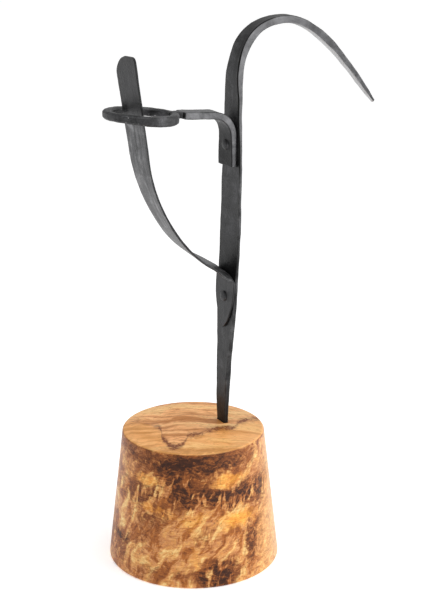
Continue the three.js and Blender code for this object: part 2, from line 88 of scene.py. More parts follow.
class Kind(Enum):
    """The kinds of node in use: type, inputs in the order they are filled, output that is read, settings."""

    TIMES = ("ShaderNodeMath", (0, 1), 0, {"operation": "MULTIPLY"})
    PLUS = ("ShaderNodeMath", (0, 1), 0, {"operation": "ADD"})
    MINUS = ("ShaderNodeMath", (0, 1), 0, {"operation": "SUBTRACT"})
    OVER = ("ShaderNodeMath", (0, 1), 0, {"operation": "DIVIDE"})
    POWER = ("ShaderNodeMath", (0, 1), 0, {"operation": "POWER"})
    LARGER = ("ShaderNodeMath", (0, 1), 0, {"operation": "MAXIMUM"})
    SMALLER = ("ShaderNodeMath", (0, 1), 0, {"operation": "MINIMUM"})
    UNSIGNED = ("ShaderNodeMath", (0,), 0, {"operation": "ABSOLUTE"})
    VECTOR_TIMES = ("ShaderNodeVectorMath", (0, 1), 0, {"operation": "MULTIPLY"})
    VECTOR_PLUS = ("ShaderNodeVectorMath", (0, 1), 0, {"operation": "ADD"})
    VECTOR_MINUS = ("ShaderNodeVectorMath", (0, 1), 0, {"operation": "SUBTRACT"})
    VECTOR_OVER = ("ShaderNodeVectorMath", (0, 1), 0, {"operation": "DIVIDE"})
    VECTOR_SCALE = ("ShaderNodeVectorMath", (0, "Scale"), 0, {"operation": "SCALE"})
    VECTOR_LENGTH = ("ShaderNodeVectorMath", (0,), "Value", {"operation": "LENGTH"})
    VECTOR_DOT = ("ShaderNodeVectorMath", (0, 1), "Value", {"operation": "DOT_PRODUCT"})
    STEP = ("ShaderNodeMapRange", (0, 1, 2, 3, 4), 0, {"interpolation_type": "SMOOTHSTEP"})
    RANGE = ("ShaderNodeMapRange", (0, 1, 2, 3, 4), 0, {})
    MIX = ("ShaderNodeMix", (0, 6, 7), 2, {"data_type": "RGBA"})
    RAMP = ("ShaderNodeValToRGB", (0,), 0, {})
    CURVE = ("ShaderNodeFloatCurve", ("Value",), 0, {})
    NOISE = ("ShaderNodeTexNoise", ("Vector", "Scale", "Detail", "Distortion", "Roughness", "W"), 0, {})
    CELLS = ("ShaderNodeTexVoronoi", ("Vector", "Scale", "W"), "Distance", {})
    COORDINATES = ("ShaderNodeTexCoord", (), "Object", {})
    SURFACE = ("ShaderNodeNewGeometry", (), "Normal", {})
    STRIP = ("ShaderNodeUVMap", (), 0, {"uv_map": "strip"})
    CREASE = ("ShaderNodeAttribute", (), "Fac", {"attribute_name": "crease"})
    TURN = ("ShaderNodeMapping", ("Vector", "Rotation"), 0, {})
    AXES = ("ShaderNodeSeparateXYZ", (0,), 0, {})
    VECTOR = ("ShaderNodeCombineXYZ", (0, 1, 2), 0, {})
    BUMP = ("ShaderNodeBump", ("Height", "Distance", "Strength"), 0, {})
    GIVEN = ("NodeGroupInput", (), 0, {})
    RESULT = ("NodeGroupOutput", (0,), 0, {})
    POSITION = ("GeometryNodeInputPosition", (), 0, {})
    NORMAL = ("GeometryNodeInputNormal", (), 0, {})
    NAMED = ("GeometryNodeInputNamedAttribute", ("Name",), 0, {})
    MOVE = ("GeometryNodeSetPosition", ("Geometry", "Offset"), 0, {})
    BALL = ("GeometryNodeMeshUVSphere", (0, 1, 2), 0, {})
    PIN = ("GeometryNodeMeshCylinder", ("Vertices", "Radius", "Depth"), 0, {})
    RESIZE = ("GeometryNodeTransform", ("Geometry", "Scale"), 0, {})
    AIM = ("FunctionNodeAlignRotationToVector", ("Vector",), 0, {"axis": "Z"})
    PLACE = ("GeometryNodeInstanceOnPoints", ("Points", "Instance", "Rotation"), 0, {})
    JOIN = ("GeometryNodeJoinGeometry", (0, 0, 0), 0, {})
    REALIZE = ("GeometryNodeRealizeInstances", (0,), 0, {})
    DRESS = ("GeometryNodeSetMaterial", ("Geometry", "Material"), 0, {})


def linear(hex_colour: str) -> tuple[float, float, float, float]:
    """Turns an sRGB hex colour to a linear one.

    Args:
        hex_colour: Six hex digits.

    Returns:
        Red, green, blue and alpha from 0 to 1.
    """
    shares = [int(hex_colour[i : i + 2], 16) / 255 for i in (0, 2, 4)]
    turned = [s / 12.92 if s <= 0.04045 else ((s + 0.055) / 1.055) ** 2.4 for s in shares]
    return (turned[0], turned[1], turned[2], 1.0)


def feed(tree: Tree, entry: Socket, value: object) -> None:
    """Links a socket to an input, or sets the input's own value.

    Args:
        tree: The input's tree.
        entry: The input.
        value: A socket or a value.
    """
    if isinstance(value, Socket):
        tree.links.new(value, entry)
    else:
        entry.default_value = value


def node(tree: Tree, kind: Kind, *inputs: object, stops: tuple = (), **settings: object) -> Socket | None:
    """Adds a node with its settings and links.

    Args:
        tree: The tree that gets the node.
        kind: The kind of node.
        inputs: Sockets to link or values to set, in the kind's order.
        stops: A ramp's places from 0 to 1, each with its hex colour.
        settings: Further properties of the node.

    Returns:
        The output that the kind is read by, or nothing at a tree's end.
    """
    name, keys, output, usual = kind.value
    made = tree.nodes.new(name)
    for setting, value in {**usual, **settings}.items():
        setattr(made, setting, value)
    for key, value in zip(keys, inputs):
        feed(tree, made.inputs[key], value)
    if stops:
        elements = made.color_ramp.elements
        while len(elements) < len(stops):
            elements.new(0.5)
        for element, (place, colour) in zip(elements, stops):
            element.position, element.color = place, linear(colour)
    return made.outputs[output] if made.outputs else None


def figure(
    tree: Tree, place: Socket, cells: Triple, detail: float = 3.0, twist: float = 0.0, rough: float = 0.5
) -> Socket:
    """Adds a cloudy pattern with cells of a real size.

    Args:
        tree: The tree that gets the pattern.
        place: The coordinates.
        cells: A cell's length along each axis, in the coordinates' unit.
        detail: Octaves.
        twist: Distortion.
        rough: How strong the finer octaves are.

    Returns:
        The pattern from 0 to 1.
    """
    at = node(tree, Kind.VECTOR_TIMES, place, tuple(1 / cell for cell in cells))
    return node(tree, Kind.NOISE, at, 1.0, detail, twist, rough)


def veiled(tree: Tree, colour: Socket, pattern: Socket, share: float, how: Blend, *stops: tuple) -> Socket:
    """Lays a pattern's light and dark over a colour.

    Args:
        tree: The material's tree.
        colour: The colour below.
        pattern: The pattern from 0 to 1.
        share: How strongly it shows.
        how: How it lies over the colour.
        stops: The pattern's shades.

    Returns:
        The new colour.
    """
    veil = node(tree, Kind.RAMP, pattern, stops=stops)
    return node(tree, Kind.MIX, share, colour, veil, blend_type=how.value)


def tinted(tree: Tree, colour: Socket, amount: Socket, tint: str, share: float = 1.0) -> Socket:
    """Brings one flat colour into another.

    Args:
        tree: The material's tree.
        colour: The colour below.
        amount: Where the tint shows, from 0 to 1.
        tint: Its hex colour.
        share: The most of it that shows.

    Returns:
        The new colour.
    """
    amount = amount if share == 1 else node(tree, Kind.TIMES, amount, share)
    return node(tree, Kind.MIX, amount, colour, linear(tint))


def new_material(name: str) -> tuple[Material, Tree, bpy.types.Node]:
    """Makes an empty material.

    Args:
        name: The material's name.

    Returns:
        The material, its tree and its shader.
    """
    material = bpy.data.materials.new(name)
    material.use_nodes = True
    return material, material.node_tree, material.node_tree.nodes["Principled BSDF"]


def fill(tree: Tree, shader: bpy.types.Node, **values: object) -> None:
    """Links or sets a shader's inputs, which are named with underscores for spaces."""
    for name, value in values.items():
        feed(tree, shader.inputs[name.replace("_", " ")], value)


@dataclass(frozen=True)
class ForgedIron:
    """Mild steel, forged hot and wax blackened: grey scale with soft gloss, paler where corners are rubbed.

    Sizes and heights are in millimetres. The grain of forge scale is about 0.2 mm. It is drawn coarser, so
    that it shows. The iron is darker above one height and below another; above it, and in the nook above the
    spring's bend, this is painted shade. Edge faces, and upward faces as far as asked, get a painted
    highlight, on the spring a dark edge instead, which begins past a place across, fades in upwards and grows
    weaker along the hook's tail. The tail's underside gets a painted highlight.
    """

    name: str
    dark: str = "202021"
    middle: str = "363637"
    pale: str = "58585a"
    worn: str = "8c8c8d"
    fold: str = "101010"
    painted_shade_and_dark: str = "1b1b1c"
    edge_highlight_and_dark_edge: str = "7c7c7e"
    painted_underside_highlight: str = "b4b4b5"
    patch_size: float = 9.0
    grit_size: float = 0.9
    scale_depth: float = 0.35
    streak_length: float = 0.0
    streak_width: float = 2.2
    shade_above: float = 400.0
    darker_below: float = 120.0
    shade_above_fade: float = 14.0
    darker_below_fade: float = 40.0
    # Painted shade on the stem above the spring's bend: where it is darkest, how far up it fades and its soft
    # lower edge.
    nook: float = 0.0
    nook_reach: float = 40.0
    nook_edge: float = 4.0
    edge_colour_past: float = -8.0
    edge_colour_past_span: tuple[float, float] = (-1.0, 2.0)
    edge_colour_above: float = 150.0
    edge_colour_fade: float = 180.0
    edge_colour_share: float = 0.85
    painted_highlight_on_tops: float = 0.0
    tail_from: float = 45.0
    tail_to: float = 85.0
    tail_share: float = 0.35
    roughness: float = 0.45
    metallic: float = 0.75

    def make(self) -> Material:
        """Builds the material.

        Returns:
            The material.
        """
        material, tree, shader = new_material(self.name)
        place = node(tree, Kind.COORDINATES)
        patches = figure(tree, place, (self.patch_size * MM,) * 3, 4.0, 0.6, 0.6)
        grit = figure(tree, place, (self.grit_size * MM,) * 3, 2.0, 0.0, 0.6)
        shades = ((0.3, self.dark), (0.52, self.middle), (0.74, self.pale))
        colour = node(tree, Kind.RAMP, patches, stops=shades)
        colour = veiled(tree, colour, grit, 0.55, Blend.SOFT, (0.3, "8c8c8c"), (0.65, "e4e4e4"))
        if self.streak_length:
            colour = self.streaked(tree, colour)
        colour = self.darkened_and_shaded(tree, place, colour)
        colour = self.with_painted_edge_highlights(tree, place, patches, colour)
        corner = node(tree, Kind.STEP, node(tree, Kind.SURFACE).node.outputs["Pointiness"], 0.53, 0.62)
        rubbed = node(tree, Kind.TIMES, corner, node(tree, Kind.STEP, patches, 0.3, 0.6))
        colour = tinted(tree, colour, rubbed, self.worn)
        # The dark fold that the hammer leaves along a corner.
        colour = tinted(tree, colour, node(tree, Kind.STEP, node(tree, Kind.CREASE), 0.86, 0.99), self.fold)
        dull = node(tree, Kind.STEP, patches, 0.2, 0.8)
        gloss = node(tree, Kind.RANGE, dull, 0.0, 1.0, self.roughness - 0.08, self.roughness + 0.14)
        flakes = node(tree, Kind.BUMP, node(tree, Kind.MIX, 0.5, patches, grit), self.scale_depth * MM, 1.0)
        fill(tree, shader, Base_Color=colour, Roughness=gloss, Metallic=self.metallic, Normal=flakes)
        return material

    def streaked(self, tree: Tree, colour: Socket) -> Socket:
        """Adds the marks of drawing out, which run along the strip.

        Args:
            tree: The material's tree.
            colour: The colour so far.

        Returns:
            The new colour.
        """
        cells = (self.streak_length * MM, self.streak_width * MM, MM)
        streaks = figure(tree, node(tree, Kind.STRIP), cells, 3.0, 0.2, 0.6)
        return veiled(tree, colour, streaks, 0.6, Blend.SOFT, (0.35, "5a5a5a"), (0.64, "e0e0e2"))

    def darkened_and_shaded(self, tree: Tree, place: Socket, colour: Socket) -> Socket:
        """Darkens the iron below one height, and paints shade above another and in the nook above the
        spring's bend.

        Args:
            tree: The material's tree.
            place: Coordinates in metres.
            colour: The colour so far.

        Returns:
            The new colour.
        """
        up = node(tree, Kind.AXES, place).node.outputs["Z"]
        high, low, fade = self.shade_above * MM, self.darker_below * MM, self.shade_above_fade * MM / 2
        # Painted shade above the given height, used on the spring's blade above the ring.
        above = node(tree, Kind.STEP, up, high - fade, high + fade)
        below = node(tree, Kind.STEP, up, low, low - self.darker_below_fade * MM)
        black = node(tree, Kind.LARGER, above, below)
        # Painted shade: the spring's bend shades the stem above it.
        if self.nook:
            nook = node(tree, Kind.STEP, up, (self.nook + self.nook_reach) * MM, self.nook * MM)
            edge = node(tree, Kind.STEP, up, (self.nook - self.nook_edge) * MM, self.nook * MM)
            black = node(tree, Kind.LARGER, black, node(tree, Kind.TIMES, nook, edge))
        return tinted(tree, colour, black, self.painted_shade_and_dark, 0.8)

    def with_painted_edge_highlights(self, tree: Tree, place: Socket, patches: Socket, colour: Socket) -> Socket:
        """Paints a highlight on the bars' edge faces and on upward faces as far as asked, on the spring a
        dark edge instead, and a highlight on the tail's underside.

        Args:
            tree: The material's tree.
            place: Coordinates in metres.
            patches: The scale's patches, which make the edge colour uneven.
            colour: The colour so far.

        Returns:
            The new colour.
        """
        facing = node(tree, Kind.AXES, node(tree, Kind.SURFACE)).node.outputs
        # Painted highlight on edge faces, and on upward faces as far as asked; the spring's colour here is
        # dark.
        sideways = node(tree, Kind.STEP, node(tree, Kind.UNSIGNED, facing["Y"]), 0.72, 0.95)
        upward = node(tree, Kind.TIMES, node(tree, Kind.STEP, facing["Z"], 0.75, 0.95), self.painted_highlight_on_tops)
        across, _, up = node(tree, Kind.AXES, place).node.outputs
        tail = node(tree, Kind.STEP, across, self.tail_from * MM, self.tail_to * MM)
        edge = [(self.edge_colour_past + side) * MM for side in self.edge_colour_past_span]
        past = node(tree, Kind.STEP, across, *edge)
        high = node(tree, Kind.STEP, up, self.edge_colour_above * MM, (self.edge_colour_above + self.edge_colour_fade) * MM)
        uneven = node(tree, Kind.RANGE, patches, 0.38, 0.62, 0.4, 1.0)
        fading = node(tree, Kind.MINUS, 1.0, node(tree, Kind.TIMES, tail, 1 - self.tail_share))
        share = node(tree, Kind.LARGER, sideways, upward)
        for factor in (past, high, fading, uneven):
            share = node(tree, Kind.TIMES, share, factor)
        colour = tinted(tree, colour, share, self.edge_highlight_and_dark_edge, self.edge_colour_share)
        # Painted highlight on the underside of the hook's tail.
        under = node(tree, Kind.TIMES, tail, node(tree, Kind.STEP, facing["Z"], -0.3, -0.55))
        return tinted(tree, colour, under, self.painted_underside_highlight, 0.9)


@dataclass(frozen=True)
class Patch:
    """A soft-edged patch of figure in the wood, in shares of the base's radius and height."""

    across: float
    up: float
    half_width: float
    half_height: float
    strength: float


@dataclass(frozen=True)
class WoodPlaces:
    """Places in the wood in millimetres, with the fibres along X: plain, slowly waved and quickly bent."""

    tree: Tree
    turned: Socket
    waved: Socket
    bent: Socket
    height: float
    radius: float


@dataclass(frozen=True)
class BurlWood:
    """Spalted burl, turned and oiled: gold and tan with a brown flame figure, ink lines and a satin surface.

    The fibres run level across the view, so the top shows long grain and the side shows upright flames in a
    dark band. Patterns are given by their cells' lengths in millimetres: along the fibres, across them and
    upwards. Real fibres, hairs and pores are about 0.2 mm wide. They are drawn coarser, so that they show.
    """

    name: str = "oiled_burl"
    grain_turn: float = 30.0
    roughness: float = 0.38
    specular: float = 0.24
    gold: str = "f0a23c"
    honey: str = "d3924f"
    tan: str = "cb8d58"
    umber: str = "884c20"
    bark: str = "3c1c0a"
    amber: str = "f4ae54"
    rim: str = "dcae88"
    sapwood: str = "dfae74"
    ink: str = "74380f"
    pale: str = "eabd78"
    russet: str = "aa642a"
    peach: str = "fbbc84"
    blond: str = "fcd296"
    slow_drift: Triple = (22.0, 22.0, 18.0)
    slow_push: float = 14.0
    quick_drift: Triple = (5.0, 5.0, 5.0)
    quick_push: float = 6.5
    open_pores: Triple = (9.0, 0.7, 0.7)
    pore_depth: float = 0.09
    mottle: Triple = (4.5, 9.0, 14.0)
    mottle_lean: float = -34.0
    flames: Triple = (4.3, 6.0, 14.0)
    flame_lean: float = -16.0
    blotches: Triple = (4.5, 4.5, 2.2)
    lines: Triple = (11.0, 3.0, 0.9)
    fibres: Triple = (7.0, 1.3, 0.8)
    curl: Triple = (2.6, 2.6, 1.7)
    waves: Triple = (60.0, 8.0, 9.0)
    hairs: Triple = (30.0, 1.3, 9.0)
    pores: Triple = (3.5, 0.8, 9.0)
    cloud: Triple = (5.0, 2.2, 9.0)
    jitter: Triple = (2.2, 2.2, 2.2)
    jitter_push: float = 17.0
    fade: Triple = (8.0, 8.0, 8.0)
    knots: Triple = (2.0, 2.0, 2.0)
    knot_groups: Triple = (12.0, 12.0, 12.0)
    # Each pair gives the place where a part of the figure is absent and the one where it is full.
    lid: tuple[float, float] = (-0.9, -0.2)
    tool_line: tuple[float, float] = (0.9, 0.25)
    tool_line_up: float = 0.73
    front_edge: tuple[float, float] = (2.0, -6.0)
    ink_line: tuple[float, float] = (2.9, 0.2)
    ink_halo: tuple[float, float] = (8.0, 1.0)
    ink_from: tuple[float, float] = (-27.0, -16.0)
    ink_deep: tuple[float, float] = (-12.0, -26.0)
    ink_widening: float = 1.2
    # Places of the dark line on the top, across and deep, in millimetres.
    ink_course: tuple[tuple[float, float], ...] = (
        (-24, 3), (-18.5, -5), (-18, -13), (-15, -23), (-11, -30), (-6, -28), (-2, -13),
        (4, -11), (7, -6), (16, -2), (23, -1), (28, 8), (40, 14),
    )
    dark_patches: tuple[Patch, ...] = (
        Patch(-0.12, 0.8, 0.78, 0.24, 0.6), Patch(-0.2, 0.93, 0.26, 0.14, 0.75),
        Patch(0.28, 0.95, 0.45, 0.12, 0.7), Patch(-0.65, 0.97, 0.24, 0.09, 0.6),
        Patch(-0.6, 0.62, 0.24, 0.12, 0.65), Patch(-0.06, 0.7, 0.38, 0.12, 0.6),
        Patch(0.49, 0.64, 0.34, 0.11, 1.1), Patch(-0.35, 0.52, 0.12, 0.09, 0.5),
        Patch(-0.5, 0.42, 0.15, 0.1, 0.6), Patch(-0.88, 0.2, 0.16, 0.2, 0.7),
        Patch(-0.67, 0.29, 0.2, 0.07, 0.65), Patch(0.3, 0.09, 0.28, 0.15, 1.3),
        Patch(0.7, 0.29, 0.12, 0.22, 0.95), Patch(0.76, 0.62, 0.07, 0.22, 0.4),
        Patch(0.2, 0.38, 0.2, 0.08, 0.5), Patch(-0.3, 0.08, 0.4, 0.06, 0.5),
    )
    gold_patches: tuple[Patch, ...] = (
        Patch(0.51, 0.475, 0.22, 0.06, 1.3), Patch(0.36, 0.785, 0.24, 0.045, 0.9),
        Patch(-0.53, 0.78, 0.17, 0.05, 0.8), Patch(-0.41, 0.56, 0.18, 0.05, 0.7),
        Patch(-0.02, 0.51, 0.17, 0.06, 0.6), Patch(0.06, 0.21, 0.05, 0.14, 0.5),
        Patch(0.9, 0.5, 0.13, 0.6, 0.4),
    )
    # On the top, a patch's height is its depth, in shares of the radius too.
    top_patches: tuple[Patch, ...] = (
        Patch(-0.7, 0.12, 0.12, 0.2, 0.5), Patch(0.06, 0.36, 0.4, 0.05, 0.35),
        Patch(-0.3, 0.68, 0.3, 0.06, 0.25), Patch(-0.08, -0.72, 0.42, 0.12, 1.3),
        Patch(0.34, -0.66, 0.3, 0.09, 1.0), Patch(-0.5, -0.6, 0.2, 0.07, 0.8),
        Patch(0.36, -0.02, 0.16, 0.06, 0.3),
    )

    def make(self, height: float, radius: float) -> Material:
        """Builds the material.

        Args:
            height: The base's height in millimetres.
            radius: The base's bottom radius in millimetres.

        Returns:
            The material.
        """
        material, tree, shader = new_material(self.name)
        turn = (0.0, 0.0, math.radians(self.grain_turn))
        turned = node(tree, Kind.TURN, node(tree, Kind.COORDINATES), turn)
        turned = node(tree, Kind.VECTOR_TIMES, turned, (1 / MM,) * 3)
        at = self.warped(tree, turned, height, radius)
        dark = self.patched(at, self.dark_patches, (radius, 0.0, height))
        up = node(tree, Kind.AXES, turned).node.outputs["Z"]
        top = node(tree, Kind.STEP, up, *(height + edge for edge in self.lid))
        colour = node(tree, Kind.MIX, top, self.side_colour(at, dark), self.top_colour(at))
        share = node(tree, Kind.MINUS, 0.55, node(tree, Kind.TIMES, top, 0.4))
        colour = tinted(tree, colour, node(tree, Kind.TIMES, self.pin_knots(at), share), self.bark)
        rough = node(tree, Kind.RANGE, dark, 0.0, 1.0, self.roughness - 0.05, self.roughness + 0.12)
        pores = figure(tree, turned, self.open_pores, 3.0, 0.3, 0.6)
        relief = node(tree, Kind.BUMP, pores, self.pore_depth * MM, 1.0)
        fill(tree, shader, Base_Color=colour, Roughness=rough, Normal=relief)
        fill(tree, shader, Specular_IOR_Level=self.specular)
        return material

    def warped(self, tree: Tree, turned: Socket, height: float, radius: float) -> WoodPlaces:
        """Shifts the places slowly, and then quickly too, which makes the patches' edges wander.

        Args:
            tree: The material's tree.
            turned: Places with the fibres along X.
            height: The base's height.
            radius: The base's bottom radius.

        Returns:
            The places.
        """
        places = [turned]
        drifts = ((self.slow_drift, 2.0, self.slow_push), (self.quick_drift, 3.0, self.quick_push))
        for cells, detail, size in drifts:
            drift = figure(tree, turned, cells, detail).node.outputs["Color"]
            push = node(tree, Kind.VECTOR_SCALE, node(tree, Kind.VECTOR_MINUS, drift, (0.5,) * 3), size)
            places.append(node(tree, Kind.VECTOR_PLUS, places[-1], push))
        return WoodPlaces(tree, *places, height, radius)

    def patched(self, at: WoodPlaces, patches: tuple[Patch, ...], spans: Triple) -> Socket:
        """Adds up soft patches.

        Args:
            at: Places in the wood.
            patches: The patches.
            spans: The length that a share is of along each axis, or 0 along an axis that is left out.

        Returns:
            Their sum.
        """
        total = 0.0
        for patch in patches:
            centre = tuple(c * span for c, span in zip((patch.across, patch.up, patch.up), spans))
            halves = (patch.half_width, patch.half_height, patch.half_height)
            sizes = tuple(1 / (half * span) if span else 0.0 for half, span in zip(halves, spans))
            off = node(at.tree, Kind.VECTOR_MINUS, at.bent, centre)
            away = node(at.tree, Kind.VECTOR_LENGTH, node(at.tree, Kind.VECTOR_TIMES, off, sizes))
            spot = node(at.tree, Kind.STEP, away, 0.35, 1.35, patch.strength, 0.0)
            total = node(at.tree, Kind.PLUS, total, spot)
        return total

    def side_colour(self, at: WoodPlaces, dark: Socket) -> Socket:
        """The side: tan and gold ground, brown patches broken by leaning gold flames, fine level lines.

        Args:
            at: Places in the wood.
            dark: The dark patches.

        Returns:
            The colour.
        """
        tree = at.tree
        slanted = node(tree, Kind.TURN, at.waved, (0.0, math.radians(self.mottle_lean), 0.0))
        mottle = figure(tree, slanted, self.mottle, 5.0, 0.5, 0.6)
        tones = (self.umber, self.russet, self.tan, self.honey, self.pale)
        shades = tuple(zip((0.34, 0.43, 0.49, 0.55, 0.64), tones))
        bright = self.patched(at, self.gold_patches, (at.radius, 0.0, at.height))
        ground = tinted(tree, node(tree, Kind.RAMP, mottle, stops=shades), bright, self.gold, 0.6)
        leaning = node(tree, Kind.TURN, at.turned, (0.0, math.radians(self.flame_lean), 0.0))
        flames = figure(tree, leaning, self.flames, 3.0, 1.0, 0.5)
        up = node(tree, Kind.AXES, at.bent).node.outputs["Z"]
        below_rim = node(tree, Kind.STEP, up, at.height * 0.9, at.height * 0.8)
        tongues = node(tree, Kind.TIMES, node(tree, Kind.STEP, flames, 0.47, 0.62), below_rim)
        blotches = figure(tree, at.bent, self.blotches, 4.0, 1.0, 0.65)
        uneven = node(tree, Kind.RANGE, blotches, 0.3, 0.62, 0.35, 1.3)
        breaks = node(tree, Kind.TIMES, node(tree, Kind.STEP, flames, 0.4, 0.56), 0.55)
        spared = node(tree, Kind.TIMES, bright, node(tree, Kind.PLUS, 0.2, breaks))
        depth = node(tree, Kind.LARGER, node(tree, Kind.MINUS, dark, spared), 0.0)
        for factor in (uneven, node(tree, Kind.MINUS, 1.0, node(tree, Kind.TIMES, tongues, 0.8))):
            depth = node(tree, Kind.TIMES, depth, factor)
        colour = tinted(tree, ground, node(tree, Kind.STEP, depth, 0.05, 0.75), self.umber)
        colour = tinted(tree, colour, node(tree, Kind.STEP, depth, 0.55, 1.35), self.bark)
        across = node(tree, Kind.AXES, at.waved).node.outputs["X"]
        sap = node(tree, Kind.STEP, across, at.radius * 0.72, at.radius * 0.95)
        colour = tinted(tree, colour, sap, self.sapwood, 0.6)
        lines = figure(tree, at.waved, self.lines, 4.0, 0.25, 0.65)
        colour = veiled(
            tree, colour, lines, 0.6, Blend.SOFT, (0.32, "7a7a7a"), (0.5, "bcbcbc"), (0.66, "f4f4f4")
        )
        fibres = figure(tree, at.turned, self.fibres, 3.0, 0.3, 0.7)
        colour = veiled(tree, colour, fibres, 0.4, Blend.DARK, (0.36, "a89280"), (0.52, "ffffff"))
        curl = figure(tree, at.turned, self.curl, 3.0, 0.4, 0.6)
        colour = veiled(
            tree, colour, curl, 0.55, Blend.SOFT, (0.36, "8a8a8a"), (0.5, "bcbcbc"), (0.64, "e8e8e8")
        )
        off = node(tree, Kind.UNSIGNED, node(tree, Kind.MINUS, up, at.height * self.tool_line_up))
        groove = node(tree, Kind.STEP, off, *self.tool_line)
        groove = node(tree, Kind.TIMES, groove, node(tree, Kind.STEP, mottle, 0.45, 0.55))
        return tinted(tree, colour, groove, self.bark, 0.4)

    def top_colour(self, at: WoodPlaces) -> Socket:
        """The top: bands of peach and gold that bow with the back rim, and one dark line that wanders across.

        Args:
            at: Places in the wood.

        Returns:
            The colour.
        """
        tree = at.tree
        across, depth, _ = node(tree, Kind.AXES, at.turned).node.outputs
        bow = node(tree, Kind.TIMES, node(tree, Kind.TIMES, across, across), 0.2 / at.radius)
        along = node(tree, Kind.VECTOR_PLUS, at.waved, node(tree, Kind.VECTOR, 0.0, bow))
        shades = ((0.33, self.russet), (0.43, self.tan), (0.5, self.peach), (0.6, self.blond))
        bands = node(tree, Kind.RAMP, figure(tree, along, self.waves, 3.0, 0.15, 0.5), stops=shades)
        cloud = node(tree, Kind.STEP, figure(tree, along, self.cloud, 4.0, 0.5, 0.65), 0.34, 0.6)
        smudge = self.patched(at, self.top_patches, (at.radius, at.radius, 0.0))
        smudge = node(tree, Kind.SMALLER, node(tree, Kind.TIMES, smudge, cloud), 0.9)
        bands = tinted(tree, bands, smudge, self.umber)
        hairs = figure(tree, along, self.hairs, 5.0, 0.15, 0.7)
        bands = veiled(
            tree, bands, hairs, 0.9, Blend.DARK, (0.34, "c49c7a"), (0.46, "f4eae0"), (0.56, "ffffff")
        )
        pores = figure(tree, along, self.pores, 3.0, 0.2, 0.7)
        bands = veiled(tree, bands, pores, 0.8, Blend.DARK, (0.36, "b49478"), (0.48, "ffffff"))
        jitter = node(tree, Kind.MINUS, figure(tree, at.turned, self.jitter, 4.0, 0.6, 0.7), 0.5)
        wander = node(tree, Kind.PLUS, depth, node(tree, Kind.TIMES, jitter, self.jitter_push))
        past = node(tree, Kind.MINUS, wander, self.course(at, across))
        away = node(tree, Kind.VECTOR_LENGTH, node(tree, Kind.VECTOR, across, depth))
        bands = tinted(tree, bands, node(tree, Kind.STEP, away, at.radius * 0.6, at.radius * 1.3), self.rim)
        front = node(tree, Kind.TIMES, node(tree, Kind.STEP, past, *self.front_edge), 0.3)
        bands = tinted(tree, bands, node(tree, Kind.PLUS, 0.15, front), self.amber)
        off = node(tree, Kind.UNSIGNED, past)
        faded = node(tree, Kind.STEP, figure(tree, at.turned, self.fade, 2.0), 0.38, 0.56)
        strong = node(tree, Kind.PLUS, 0.45, node(tree, Kind.TIMES, faded, 0.5))
        strong = node(tree, Kind.TIMES, node(tree, Kind.STEP, across, *self.ink_from), strong)
        halo = node(tree, Kind.TIMES, node(tree, Kind.STEP, off, *self.ink_halo), strong)
        bands = tinted(tree, bands, halo, self.umber, 0.6)
        deep = node(tree, Kind.TIMES, node(tree, Kind.STEP, depth, *self.ink_deep), self.ink_widening)
        ink = node(tree, Kind.STEP, node(tree, Kind.MINUS, off, deep), *self.ink_line)
        return tinted(tree, bands, node(tree, Kind.TIMES, ink, strong), self.ink)

    def course(self, at: WoodPlaces, across: Socket) -> Socket:
        """The depth of the dark line at each place across the top.

        Args:
            at: Places in the wood.
            across: The place across in millimetres.

        Returns:
            The depth in millimetres.
        """
        tree, span = at.tree, 2 * at.radius
        share = node(tree, Kind.CURVE, node(tree, Kind.PLUS, 0.5, node(tree, Kind.OVER, across, span)))
        mapping = share.node.mapping
        shares = [(0.5 + x / at.radius / 2, 0.5 + y / at.radius / 2) for x, y in self.ink_course]
        points = mapping.curves[0].points
        points[0].location = (0, shares[0][1] + 0.04)
        points[1].location = (1, shares[-1][1])
        for place in shares:
            points.new(*place)
        mapping.update()
        return node(tree, Kind.TIMES, node(tree, Kind.MINUS, share, 0.5), span)

    def pin_knots(self, at: WoodPlaces) -> Socket:
        """Clusters of pin knots.

        Args:
            at: Places in the wood.

        Returns:
            Where a knot is, from 0 to 1.
        """
        places = node(at.tree, Kind.VECTOR_TIMES, at.turned, tuple(1 / cell for cell in self.knots))
        pins = node(at.tree, Kind.STEP, node(at.tree, Kind.CELLS, places, 1.0), 0.36, 0.12)
        groups = node(at.tree, Kind.STEP, figure(at.tree, at.turned, self.knot_groups, 2.0), 0.52, 0.64)
        return node(at.tree, Kind.TIMES, pins, groups)


@dataclass(frozen=True)
class Table:
    """A table of sections along a path, read smoothly."""

    places: tuple[float, ...]
    values: tuple[float, ...]

    def at(self, place: np.ndarray) -> np.ndarray:
        """Reads the table with a smooth run through its rows.

        Args:
            place: Places along the path.

        Returns:
            A value for each place.
        """
        x, y = np.array(self.places), np.array(self.values)
        slopes = np.empty_like(y)
        slopes[1:-1] = (y[2:] - y[:-2]) / (x[2:] - x[:-2])
        slopes[0] = (y[1] - y[0]) / (x[1] - x[0])
        slopes[-1] = (y[-1] - y[-2]) / (x[-1] - x[-2])
        place = np.clip(place, x[0], x[-1])
        i = np.clip(np.searchsorted(x, place, side="right") - 1, 0, len(x) - 2)
        span = x[i + 1] - x[i]
        t = (place - x[i]) / span
        rise = t * t * (3 - 2 * t)
        bends = slopes[i] * t * (1 - t) ** 2 + slopes[i + 1] * t * t * (t - 1)
        return y[i] * (1 - rise) + y[i + 1] * rise + bends * span


def columns(*rows: tuple[float, ...]) -> tuple[Table, ...]:
    """Splits rows of a place and its values into one table for each value."""
    places = tuple(row[0] for row in rows)
    return tuple(Table(places, tuple(row[k] for row in rows)) for k in range(1, len(rows[0])))


def wobble(length: np.ndarray, waver: Waver) -> np.ndarray:
    """A slow unevenness along a bar, the same on every run.

    Args:
        length: Lengths along the bar in millimetres.
        waver: The distance between bumps, the largest departure and the seed.

    Returns:
        A departure for each length.
    """
    period, size, seed = waver
    count = int(length.max() / period) + 4
    bumps = np.random.default_rng(seed).uniform(-1, 1, count) * size
    return Table(tuple(np.arange(count) * period), tuple(bumps)).at(length)


